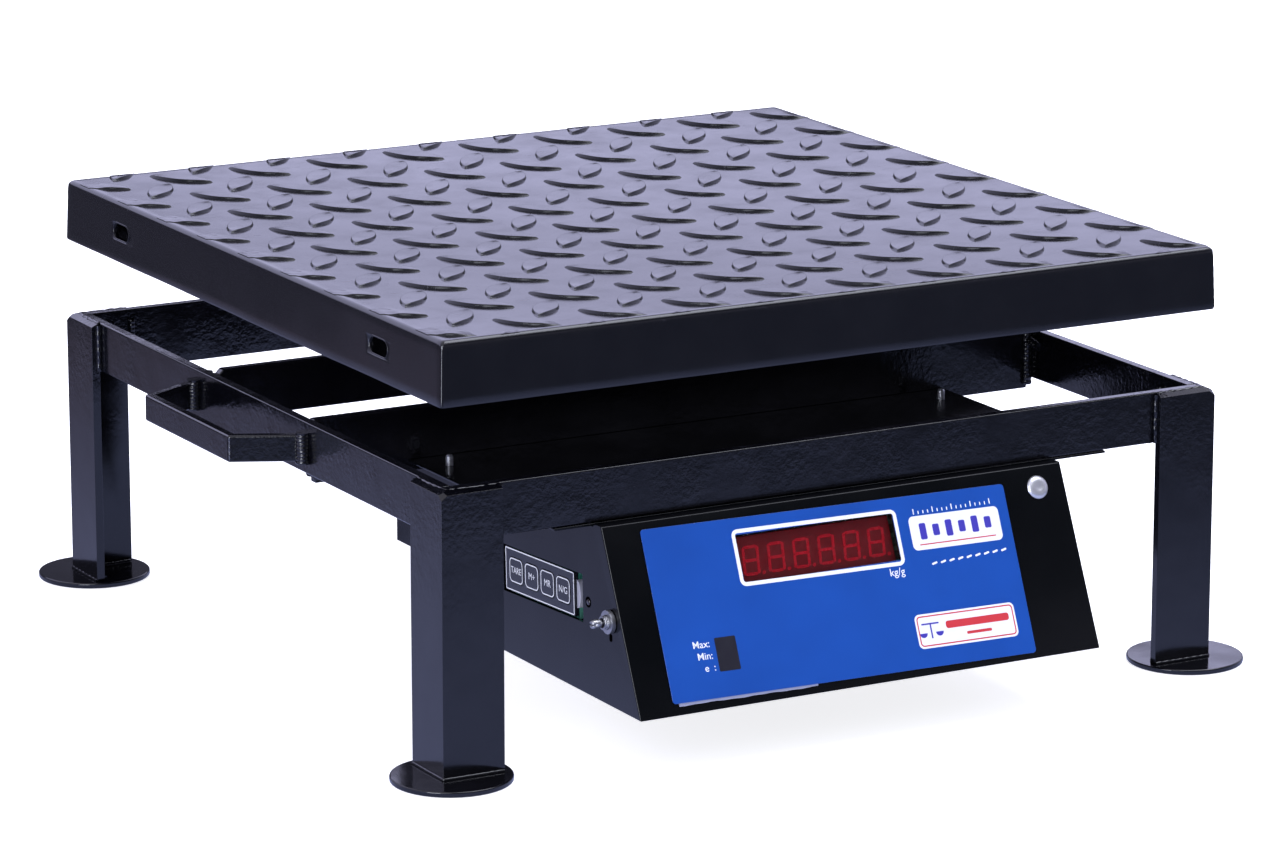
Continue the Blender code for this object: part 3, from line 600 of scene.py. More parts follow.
def new_tree(name: str, values: dict) -> tuple[bpy.types.NodeTree, bpy.types.NodeOutputs]:
    """Start a geometry tree with one named input for each value that it will be given.

    Args:
        name: Name of the tree.
        values: Input name to value; the value's type chooses the socket.

    Returns:
        The tree and the sockets of its inputs.
    """
    kinds = {float: "Float", int: "Int", tuple: "Vector", bpy.types.Object: "Object", bpy.types.Material: "Material"}
    tree = bpy.data.node_groups.new(name, "GeometryNodeTree")
    tree.interface.new_socket("Geometry", in_out="INPUT", socket_type="NodeSocketGeometry")
    for label, value in values.items():
        tree.interface.new_socket(label, in_out="INPUT", socket_type="NodeSocket" + kinds[type(value)])
    tree.interface.new_socket("Geometry", in_out="OUTPUT", socket_type="NodeSocketGeometry")
    return tree, tree.nodes.new("NodeGroupInput").outputs


def end_tree(tree: bpy.types.NodeTree, geometry: bpy.types.NodeSocket, material: bpy.types.NodeSocket) -> None:
    """End a tree with Realize Instances and Set Material."""
    real = add_node(tree, "GeometryNodeRealizeInstances", {"Geometry": geometry})
    dressed = add_node(tree, "GeometryNodeSetMaterial", {"Geometry": real.outputs[0], "Material": material})
    add_node(tree, "NodeGroupOutput", {"Geometry": dressed.outputs[0]})


def grow(name: str, tree: bpy.types.NodeTree, base: bmesh.types.BMesh, values: dict) -> bpy.types.Object:
    """Run a geometry tree on a base shape and keep the result as a plain mesh.

    Args:
        name: Name of the piece.
        tree: Geometry tree to run.
        base: Base shape, which may be empty.
        values: Input name to value.

    Returns:
        The plain mesh object.
    """
    carrier = new_object(name + "_base", base)
    modifier = carrier.modifiers.new("grow", "NODES")
    modifier.node_group = tree
    for item in tree.interface.items_tree:
        if item.in_out == "INPUT" and item.name in values:
            modifier[item.identifier] = values[item.name]
    return baked(carrier, name)


# ------------------------------------------------------------------ where things are

# The stand's own middle, about which the drawing's sizes are given
LEGS_LOW, LEGS_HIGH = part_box("leg_front_left")[0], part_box("leg_rear_right")[1]
MIDDLE = Vector(((LEGS_LOW.x + LEGS_HIGH.x) / 2, (LEGS_LOW.y + LEGS_HIGH.y) / 2, 0.0))
TO_MIDDLE = Matrix.Translation(MIDDLE)


def spot(x: float, y: float, z: float) -> Vector:
    """A drawing point in millimetres from the stand's middle, in the scale's frame."""
    return MIDDLE + Vector((mm(x), mm(y), mm(z)))


@dataclass(frozen=True)
class SlopedFront:
    """The indicator's sloped face; its own frame is x right, y up the slope, z outward."""

    top_y: float = -203.1
    top_z: float = 107.2
    bottom_y: float = -238.8
    bottom_z: float = 28.3

    def matrix(self, x: float = 0.0, down: float = 0.0, out: float = 0.0, turn: float = 0.0) -> Matrix:
        """Frame at a point x across and down the slope, turned about the face's normal in degrees."""
        along = Vector((0, self.bottom_y - self.top_y, self.bottom_z - self.top_z)).normalized()
        normal = Vector((1, 0, 0)).cross(-along)
        axes = Matrix((Vector((1, 0, 0)), -along, normal)).transposed().to_4x4()
        place = Matrix.Translation(spot(0, self.top_y, self.top_z)) @ axes
        return place @ Matrix.Translation((mm(x), mm(-down), mm(out))) @ Matrix.Rotation(math.radians(turn), 4, "Z")


@dataclass(frozen=True)
class SidePanel:
    """The keypad's plane on the left side; its own frame is x toward the front, y up, z outward."""

    x: float = -124.0
    centre_y: float = -145.2
    centre_z: float = 69.2
    tilt: float = 2.7

    def matrix(self, along: float = 0.0, up: float = 0.0, out: float = 0.0) -> Matrix:
        """Frame at a point toward the front and up from the keypad's middle."""
        axes = Matrix(((0, 0, -1, 0), (-1, 0, 0, 0), (0, 1, 0, 0), (0, 0, 0, 1)))
        place = Matrix.Translation(spot(self.x, self.centre_y, self.centre_z)) @ axes
        tilted = place @ Matrix.Rotation(math.radians(self.tilt), 4, "Z")
        return tilted @ Matrix.Translation((mm(along), mm(up), mm(out)))


FRONT = SlopedFront()
SIDE = SidePanel()


# ------------------------------------------------------------------ weighing pan


@dataclass
class TreadPan:
    """Pan of raised-lug tread plate: dished by use, its edges folded down and welded at the corners.

    Attributes:
        side: Width of the pan over its flared skirts.
        top: Height of the flat edge of the plate.
        fold: Radius of the folded edge.
        dish: How far the middle sits below the edges.
        lug_length: Lug from tip to tip.
    """

    side: float = 400.0
    top: float = 197.2
    skirt: float = 29.2
    wall: float = 2.5
    plate: float = 3.0
    flare: float = 1.3
    fold: float = 2.6
    dish: float = 4.3
    corner: float = 1.9
    cells: int = 64
    lug_length: float = 34.5
    lug_width: float = 11.4
    lug_height: float = 1.3
    pitch: Point = (42.0, 44.7)
    slots: tuple[Point, ...] = ((134.6, 183.0), (-138.9, 183.0))

    def sag(self, x: float, y: float) -> float:
        """How far the plate sits below its edge at a point, in millimetres."""
        half = self.side / 2
        across, along = 1 - (x / half) ** 2, 1 - (y / half) ** 2
        return self.dish * max(across, 0.0) * max(along, 0.0)

    def wander(self, x: float, y: float, z: float) -> float:
        """Hand-folding waviness of the skirts: how far a point leans outward, in millimetres."""
        slow = 0.28 * math.sin(x * 0.031 + 0.7) * math.cos(y * 0.027 + 1.1)
        quick = 0.10 * math.sin(x * 0.12 + y * 0.09 + 2.0)
        drop_share = (self.top - z) / self.skirt
        return (slow + quick) * max(drop_share, 0.12)

    def loop(self, reach: float, radius: float, low: float) -> list[Vector]:
        """One loop round the pan: equal steps on its sides and a rounded corner, at one height."""
        steps, quarter = self.cells, 5
        points = []
        for turn in range(4):
            angle = turn * math.pi / 2
            spin = Matrix.Rotation(angle, 3, "Z")
            straight = reach - radius
            for step in range(steps):
                share = -1 + 2 * (step + 0.5) / steps
                points.append(spin @ Vector((reach, share * straight, low)))
            for step in range(quarter):
                corner_angle = math.pi / 2 * (step + 0.5) / quarter
                x = straight + radius * math.cos(corner_angle)
                y = straight + radius * math.sin(corner_angle)
                points.append(spin @ Vector((x, y, low)))
        return points

    def shell(self) -> bmesh.types.BMesh:
        """Plate and skirts as one closed shell."""
        half, wide, low = self.side / 2 - self.flare, self.side / 2 - 0.5, self.top - self.skirt
        inner = 0.4
        rows = []
        for angle in (90, 72, 54, 36, 18, 0):
            inset = self.fold * (1 - math.cos(math.radians(angle)))
            rows.append((half - inset, self.corner, self.top - self.fold * (1 - math.sin(math.radians(angle)))))
        for share in (0.1, 0.28, 0.46, 0.64, 0.82, 0.965):
            reach = half + (wide - half) * share
            rows.append((reach, self.corner, self.top - self.fold - share * (self.skirt - self.fold)))
        rows += [(wide - 0.25, self.corner, low + 0.12), (wide - 0.7, self.corner, low)]
        rows += [(wide - self.wall + 0.5, inner, low), (wide - self.wall, inner, low + 0.5)]
        for share in (0.75, 0.5, 0.25, 0.0):
            reach = half + (wide - half) * share - self.wall
            rows.append((reach, inner, self.top - self.plate - share * (self.skirt - self.plate)))
        shape = bmesh.new()
        loops = []
        for reach, radius, height in rows:
            verts = []
            for point in self.loop(reach, radius, height):
                out = Vector((point.x, point.y, 0)).normalized()
                lean = self.wander(point.x, point.y, height) if height < self.top - self.fold else 0.0
                moved = point + out * lean
                if height > self.top - self.plate:
                    moved.z -= 0.25 * self.sag(point.x * 0.97, point.y * 0.97)
                verts.append(shape.verts.new(moved * 0.001))
            loops.append(verts)
        bridge(shape, loops)
        self.cap(shape, loops[0], 0.0)
        self.cap(shape, loops[-1], self.plate)
        return outward(shape)

    def cap(self, shape: bmesh.types.BMesh, ring: list, under: float) -> None:
        """Close a loop with rings that shrink to the middle and follow the dish."""
        base = [vert.co.copy() for vert in ring]
        rings = [ring]
        for share in (0.985, 0.95, 0.9, 0.82, 0.73, 0.62, 0.5, 0.38, 0.25, 0.12, 0.05):
            inner = []
            for point in base:
                x, y = point.x * share, point.y * share
                inner.append(shape.verts.new((x, y, mm(self.top - under - self.sag(x * 1000, y * 1000)))))
            rings.append(inner)
        bridge(shape, rings)
        shape.faces.new(rings[-1])

    def cut_slots(self, pan: bpy.types.Object) -> bpy.types.Object:
        """Cut the two round-ended access slots through each side skirt."""
        turn = Matrix(((0, 0, 1, 0), (1, 0, 0, 0), (0, 1, 0, 0), (0, 0, 0, 1)))
        cutters = []
        for slot_y, slot_z in self.slots:
            for side in (-1, 1):
                place = Matrix.Translation((side * mm(self.side / 2), mm(slot_y), mm(slot_z))) @ turn
                cutters.append(placed(prism(self.slot_outline(), -7.0, 7.0), place))
        return cut(pan, new_object("slot_cutters", outward(joined(cutters))), "platform_pan_plate")

    @staticmethod
    def slot_outline() -> list[Point]:
        """Outline of one access slot."""
        return rounded(18.0, 8.0, 3.99, 8)

    def slot_rims(self) -> bmesh.types.BMesh:
        """Paint-rounded rims round the slots: thin rings that stand a little proud."""
        shape = bmesh.new()
        path = self.slot_outline()
        section = arc((0, 0), 0.42, 0, 315, 7)
        for slot_y, slot_z in self.slots:
            for side in (-1, 1):
                rings = []
                for index, (u, v) in enumerate(path):
                    before, after = path[index - 1], path[(index + 1) % len(path)]
                    along = Vector((after[0] - before[0], after[1] - before[1], 0)).normalized()
                    across = Vector((along.y, -along.x, 0))
                    drop_share = (self.top - slot_z - v) / self.skirt
                    face = self.side / 2 - self.flare + (self.flare - 0.5) * drop_share
                    face += self.wander(side * face, slot_y + u, slot_z + v) - 0.3
                    ring = []
                    for a, b in section:
                        local = Vector((u, v, 0)) + across * a
                        ring.append(shape.verts.new((side * mm(face + b), mm(slot_y + local.x), mm(slot_z + local.y))))
                    rings.append(ring)
                bridge(shape, rings, True)
        return outward(shape)

    def lug(self) -> bmesh.types.BMesh:
        """One lens-shaped lug along X: steep sides, a crowned top, and height that runs out at its tips."""
        shape = bmesh.new()
        rings = []
        sunk = 0.15
        sections = ((1.0, 0.0), (0.97, 0.2), (0.94, 0.62), (0.915, 0.9), (0.895, 0.985))
        sections += ((0.875, 1.0), (0.845, 1.0), (0.55, 1.0), (0.3, 1.0))
        half_length, half_width = self.lug_length / 2, self.lug_width / 2
        steps = 14
        for spread, height in sections:
            ring = []
            for side in (1, -1):
                for step in range(steps):
                    share = -1 + 2 * step / steps
                    x = side * share * half_length * spread
                    y = -side * half_width * spread * max(1 - abs(share) ** 1.9, 0.0)
                    crown = max(1 - abs(share * spread) ** 5.0, 0.0) ** 0.5
                    ring.append(shape.verts.new((mm(x), mm(y), mm((self.lug_height + sunk) * height * crown - sunk))))
            rings.append(ring)
        bridge(shape, rings)
        shape.faces.new(rings[-1])
        shape.faces.new(rings[0])
        return outward(shape)

    def lug_tree(self, values: dict) -> bpy.types.NodeTree:
        """Two interleaved grids of lugs, turned either way, laid on the dished plate."""
        tree, given = new_tree("tread_lugs", values)
        source = add_node(tree, "GeometryNodeObjectInfo", {"Object": given["Lug"]}).outputs["Geometry"]
        width = calc(tree, "MULTIPLY", given["Pitch X"], given["Columns"])
        depth = calc(tree, "MULTIPLY", given["Pitch Y"], given["Rows"])
        sizes = {"Size X": width, "Size Y": depth}
        sizes["Vertices X"] = calc(tree, "ADD", given["Columns"], 1.0)
        sizes["Vertices Y"] = calc(tree, "ADD", given["Rows"], 1.0)
        grid = add_node(tree, "GeometryNodeMeshGrid", sizes).outputs["Mesh"]
        box = add_node(tree, "ShaderNodeCombineXYZ", {"X": width, "Y": depth}).outputs[0]
        half = {0: box, 1: (0.5, -0.5, 0.0)}
        middle = add_node(tree, "ShaderNodeVectorMath", half, operation="MULTIPLY").outputs[0]
        both = add_node(tree, "GeometryNodeJoinGeometry")
        for start, sign in (("First", -1.0), ("Second", 1.0)):
            shift = add_node(tree, "ShaderNodeVectorMath", {0: middle, 1: given[start]}, operation="ADD").outputs[0]
            moved = add_node(tree, "GeometryNodeTransform", {"Geometry": grid, "Translation": shift}).outputs[0]
            turn = calc(tree, "MULTIPLY", given["Angle"], sign)
            spun = calc(tree, "ADD", turn, self.scatter(tree, -0.02, 0.02, given["Seed"]))
            rotation = add_node(tree, "ShaderNodeCombineXYZ", {"Z": spun}).outputs[0]
            spread = {"Points": moved, "Instance": source, "Scale": self.scatter(tree, 0.96, 1.04, given["Seed"])}
            spread["Rotation"] = add_node(tree, "FunctionNodeEulerToRotation", {0: rotation}).outputs[0]
            tree.links.new(add_node(tree, "GeometryNodeInstanceOnPoints", spread).outputs[0], both.inputs[0])
        real = add_node(tree, "GeometryNodeRealizeInstances", {"Geometry": both.outputs[0]}).outputs[0]
        laid = {"Geometry": real, "Offset": self.dish_offset(tree, given)}
        end_tree(tree, add_node(tree, "GeometryNodeSetPosition", laid).outputs[0], given["Material"])
        return tree

    @staticmethod
    def scatter(tree, low: float, high: float, seed) -> bpy.types.NodeSocket:
        """A random value for each lug."""
        limits = {2: low, 3: high, "Seed": seed}
        return add_node(tree, "FunctionNodeRandomValue", limits, data_type="FLOAT").outputs[1]

    def dish_offset(self, tree, given) -> bpy.types.NodeSocket:
        """Offset that lifts a point to the dished plate's surface."""
        parts = xyz(tree, add_node(tree, "GeometryNodeInputPosition").outputs[0])
        rests = []
        for axis in ("X", "Y"):
            share = calc(tree, "DIVIDE", parts[axis], given["Half side"])
            rests.append(calc(tree, "SUBTRACT", 1.0, calc(tree, "MULTIPLY", share, share), use_clamp=True))
        sag = calc(tree, "MULTIPLY", calc(tree, "MULTIPLY", *rests), given["Dish"])
        height = calc(tree, "SUBTRACT", given["Edge height"], sag)
        return add_node(tree, "ShaderNodeCombineXYZ", {"Z": height}).outputs[0]

    def trimmed(self, lugs: bpy.types.Object) -> bpy.types.Object:
        """Cut the lugs off at the folded edges, where the plate was cut and bent."""
        shape = bmesh.new()
        shape.from_mesh(lugs.data)
        reach = mm(self.side / 2 - self.flare - 1.3)
        for direction in ((1, 0, 0), (-1, 0, 0), (0, 1, 0), (0, -1, 0)):
            trim(shape, Vector(direction) * reach, direction)
        limit, fold = mm(self.side / 2 - self.flare - self.fold), mm(self.fold)
        for vert in shape.verts:
            over = max(abs(vert.co.x), abs(vert.co.y)) - limit
            plate = mm(self.top - self.sag(vert.co.x * 1000, vert.co.y * 1000))
            vert.co.z = plate + (vert.co.z - plate) * min(max(-over / mm(5.0), 0.3), 1.0)
            if over > 0:
                vert.co.z -= fold - math.sqrt(max(fold**2 - over**2, 0.0))
        outward(shape).to_mesh(lugs.data)
        shape.free()
        lugs.data.shade_smooth()
        lugs.data.set_sharp_from_angle(angle=math.radians(40))
        return lugs

    def build(self) -> None:
        """Build the plate, its lugs, slot rims, corner seams and stiffeners."""
        plate = self.cut_slots(new_object("platform_pan_rough", self.shell(), 40))
        sample = new_object("lug_sample", self.lug())
        values = {
            "Lug": sample,
            "Pitch X": mm(self.pitch[0]),
            "Pitch Y": mm(self.pitch[1]),
            "Columns": 10,
            "Rows": 9,
            "First": (mm(-191.0), mm(174.8 + self.pitch[1]), 0.0),
            "Second": (mm(-170.0 - self.pitch[0]), mm(197.2), 0.0),
            "Angle": math.radians(50.0),
            "Edge height": mm(self.top),
            "Dish": mm(self.dish),
            "Half side": mm(self.side / 2),
            "Seed": 7,
            "Material": TREAD.material(),
        }
        lugs = self.trimmed(grow("platform_pan_lugs", self.lug_tree(values), bmesh.new(), values))
        bpy.data.objects.remove(sample)
        rims = new_object("platform_pan_slot_rims", self.slot_rims(), 60)
        for piece, nodes in ((plate, ("platform_pan",)), (lugs, ()), (rims, ())):
            piece.data.transform(TO_MIDDLE)
            install(piece, TREAD, *nodes, body=Body.PAN)
        install(self.seams(), TREAD, body=Body.PAN)
        for side in ("left", "right"):
            dress("pan_stiffener_" + side, 0.5, ENAMEL, Body.PAN)

    def seams(self) -> bpy.types.Object:
        """Weld seams up the four corners, ground flush at the top."""
        reach = self.side / 2 - self.flare - 0.293 * self.corner
        paths = []
        for side_x, side_y in ((-1, -1), (1, -1), (1, 1), (-1, 1)):
            path = []
            for step in range(9):
                share = step / 8
                out = reach + (self.flare - 0.5) * share - 0.3
                path.append(Vector((side_x * out, side_y * out, self.top - 3.4 - share * (self.skirt - 4.4))))
            paths.append(path)
        return WeldBead("platform_pan_seams", 0.6, 5.0, 0.1, 3).run(paths)


# ------------------------------------------------------------------ welds and threads


@dataclass(frozen=True)
class WeldBead:
    """Stick-weld beads along paths: half-round, rippled across, swollen and uneven.

    Attributes:
        name: Name of the piece.
        radius: Radius of a bead in millimetres.
        ripple: Spacing of the ripples in millimetres.
        rough: Height of the ripples and lumps in millimetres.
        seed: Seed of the lumps.
    """

    name: str
    radius: float
    ripple: float
    rough: float
    seed: int

    def tree(self, values: dict) -> bpy.types.NodeTree:
        """Resample the path, sweep a circle along it, then raise ripples and lumps."""
        tree, given = new_tree(self.name + "_tree", values)
        curve = add_node(tree, "GeometryNodeMeshToCurve", {0: given["Geometry"]}).outputs[0]
        even = add_node(tree, "GeometryNodeResampleCurve", {"Curve": curve, "Length": given["Step"]}, mode="LENGTH")
        length = add_node(tree, "GeometryNodeSplineParameter").outputs["Length"]
        kept = add_node(tree, "GeometryNodeCaptureAttribute", {"Geometry": even.outputs[0]}, domain="POINT")
        kept.capture_items.new("FLOAT", "Length")
        tree.links.new(length, kept.inputs["Length"])
        profile = add_node(tree, "GeometryNodeCurvePrimitiveCircle", {"Resolution": 12, "Radius": given["Radius"]})
        swept = {"Curve": kept.outputs[0], "Profile Curve": profile.outputs[0], "Fill Caps": True}
        mesh = add_node(tree, "GeometryNodeCurveToMesh", swept).outputs[0]
        share = calc(tree, "DIVIDE", kept.outputs["Length"], given["Ripple"])
        wave = calc(tree, "ABSOLUTE", calc(tree, "SINE", calc(tree, "MULTIPLY", share, math.pi)))
        position = add_node(tree, "GeometryNodeInputPosition").outputs[0]
        spread = {"Vector": position, "W": calc(tree, "MULTIPLY", given["Seed"], 3.7), "Scale": 240.0, "Detail": 2.0}
        lumps = add_node(tree, "ShaderNodeTexNoise", spread, noise_dimensions="4D").outputs["Fac"]
        uneven = calc(tree, "MULTIPLY", calc(tree, "SUBTRACT", lumps, 0.5), 3.0)
        height = calc(tree, "MULTIPLY", calc(tree, "ADD", wave, uneven), given["Rough"])
        normal = add_node(tree, "GeometryNodeInputNormal").outputs[0]
        push = add_node(tree, "ShaderNodeVectorMath", {0: normal, "Scale": height}, operation="SCALE").outputs[0]
        raised = add_node(tree, "GeometryNodeSetPosition", {"Geometry": mesh, "Offset": push}).outputs[0]
        end_tree(tree, add_node(tree, "GeometryNodeSetShadeSmooth", {0: raised}).outputs[0], given["Material"])
        return tree

    def run(self, paths: Sequence[Sequence[Vector]], world: bool = False) -> bpy.types.Object:
        """Lay a bead along each path.

        Args:
            paths: Lists of points in millimetres from the stand's middle.
            world: True where the points are already in the scale's frame, in metres.

        Returns:
            One plain mesh with all the beads.
        """
        base = bmesh.new()
        for path in paths:
            verts = [base.verts.new(point if world else spot(*point)) for point in path]
            for first, second in zip(verts, verts[1:]):
                base.edges.new((first, second))
        sizes = {"Radius": self.radius, "Step": self.ripple / 4, "Ripple": self.ripple, "Rough": self.rough}
        values = {label: mm(size) for label, size in sizes.items()}
        values |= {"Seed": self.seed, "Material": ENAMEL.material()}
        return grow(self.name, self.tree(values), base, values)


@dataclass(frozen=True)
class ScrewThread:
    """A rolled thread: a small ridge wound round a shank built along +Z.

    Attributes:
        radius: Shank radius in millimetres.
        pitch: Thread pitch in millimetres.
        length: Threaded length in millimetres.
    """

    radius: float
    pitch: float
    length: float

    def run(self, name: str, finish: Finish, place: Matrix) -> bpy.types.Object:
        """Wind the ridge with geometry nodes and put it at a place."""
        values = {
            "Radius": mm(self.radius),
            "Height": mm(self.length),
            "Turns": self.length / self.pitch,
            "Ridge": mm(self.pitch * 0.42),
            "Material": finish.material(),
        }
        tree, given = new_tree(name + "_tree", values)
        wound = {"Resolution": 24, "Rotations": given["Turns"], "Height": given["Height"]}
        wound |= {"Start Radius": given["Radius"], "End Radius": given["Radius"]}
        helix = add_node(tree, "GeometryNodeCurveSpiral", wound).outputs[0]
        profile = add_node(tree, "GeometryNodeCurvePrimitiveCircle", {"Resolution": 4, "Radius": given["Ridge"]})
        swept = {"Curve": helix, "Profile Curve": profile.outputs[0], "Fill Caps": True}
        end_tree(tree, add_node(tree, "GeometryNodeCurveToMesh", swept).outputs[0], given["Material"])
        made = grow(name, tree, bmesh.new(), values)
        made.data.transform(place)
        return made


# ------------------------------------------------------------------ stand


def mirrored(*routes: Sequence[Place]) -> list[list[Place]]:
    """The same routes at each corner of the stand."""
    return [[(side_x * x, side_y * y, z) for x, y, z in route] for side_x, side_y in CORNERS for route in routes]


def level(z: float, *points: Point) -> list[Place]:
    """A route at one height."""
    return [(x, y, z) for x, y in points]


def upright(x: float, y: float, *heights: float) -> list[Place]:
    """A route straight up."""
    return [(x, y, z) for z in heights]


@dataclass
class Stand:
    """Welded stand: four angle legs on discs, rails, cross members and the carry handle.

    Attributes:
        top: Height of the rails' top.
        disc: Thickness of the foot discs.
        ground: How far in from its outer faces the top edges of a leg are ground.
        corner_cut: How far in from its outer faces the corner of a leg is cut.
        half: Half of the stand's width and depth.
    """

    top: float = 131.5
    disc: float = 3.0
    ground: float = 3.8
    corner_cut: float = 2.6
    half: float = 200.0

    def build(self) -> None:
        """Round the bars' edges, then lay the welds."""
        rounding = {"leg": 1.0, "foot_disc": 0.7, "rail": 0.8, "cross_member": 0.7, "carry_handle": 1.1}
        for node in sorted(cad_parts):
            for kind, width in rounding.items():
                if node.startswith(kind):
                    piece = softened(node, width, trims=self.corner_planes(node) if kind == "leg" else ())
                    self.warp(piece, 0.18 if kind in ("rail", "cross_member") else 0.1)
                    install(piece, ENAMEL, node)
        self.heavy_welds()
        self.corner_welds()

    def corner_planes(self, node: str) -> list[tuple[Vector, Vector]]:
        """Planes along a leg's outer top edges and across their corner, where it was ground."""
        side_x = -1 if node.endswith("left") else 1
        side_y = -1 if "front" in node else 1
        cuts = ((self.corner_cut, 1, 1, 1.3), (self.ground, 0.42, 0, 0.9), (self.ground, 0, 0.42, 0.9))
        planes = []
        for inset, x, y, z in cuts:
            out = self.half - inset
            normal = Vector((side_x * x, side_y * y, z)).normalized()
            planes.append((spot(side_x * out, side_y * out, self.top), normal))
        return planes

    @staticmethod
    def warp(piece: bpy.types.Object, depth: float) -> None:
        """Shift vertices inward by a slow wave along the bar, as hot-rolled bar is never quite straight."""
        centre = sum((vert.co for vert in piece.data.vertices), Vector()) / len(piece.data.vertices)
        for vert in piece.data.vertices:
            inward = (centre - vert.co).normalized()
            wave = 0.5 + 0.5 * math.sin(vert.co.x * 61 + vert.co.y * 47 + vert.co.z * 90)
            vert.co += inward * mm(depth) * wave

    def heavy_welds(self) -> None:
        """Beads at the handle's ends and where the cross members meet the side rails."""
        ends = []
        for y in (58.6, -58.2):
            ends += [upright(-197.4, y, 112.4, 119.0, 126.6), upright(-196.4, y + 1.6, 112.4, 119.0, 126.6)]
        install(WeldBead("handle_welds", 2.8, 1.7, 0.6, 5).run(ends), ENAMEL)
        joints = []
        for side in (-1, 1):
            for y in (-57.0, -50.0, 52.0, 59.0):
                low = 104.0 if y < 0 else 109.0
                joints.append([(side * 189.6, y, low), (side * 189.6, y, 118.0), (side * 189.3, y, 130.0)])
        joints.append([(190.0, -52.0, 125.0), (190.0, -60.0, 126.0), (190.0, -67.0, 124.5)])
        install(WeldBead("cross_welds", 1.9, 2.3, 0.4, 23).run(joints), ENAMEL)

    def corner_welds(self) -> None:
        """Welds and gathered paint that all four corners have."""
        heights = [106.5 + 5 * step for step in range(5)]
        inner = mirrored(upright(190.2, 170.0, *heights), upright(170.0, 190.2, *heights))
        install(WeldBead("leg_welds", 1.5, 2.0, 0.3, 11).run(inner), ENAMEL)
        foot = mirrored(level(self.disc, (171.5, 195.2), (194.6, 195.0), (195.2, 171.5)))
        install(WeldBead("foot_welds", 1.5, 2.2, 0.3, 17).run(foot), ENAMEL)
        joint = ((171.0, 195.8), (183.0, 195.9), (194.6, 195.4), (195.4, 194.6), (195.9, 183.0), (195.8, 171.0))
        top = mirrored(level(self.top - 1.05, *joint))
        install(WeldBead("frame_top_welds", 1.1, 5.0, 0.3, 31).run(top), ENAMEL)
        outline = ((170.4, 200.0), (185.0, 200.1), (199.9, 199.9), (200.1, 185.0), (200.0, 170.4))
        paint = mirrored(level(self.disc, *outline))
        install(WeldBead("foot_paint_beads", 0.75, 4.0, 0.12, 37).run(paint), ENAMEL)
        heights = (107.8, 115.0, 123.0, 130.4)
        flange = mirrored(upright(196.6, 169.7, *heights), upright(169.7, 196.6, *heights))
        install(WeldBead("flange_end_welds", 1.25, 4.0, 0.2, 41).run(flange), ENAMEL)


# ------------------------------------------------------------------ load cell and spider


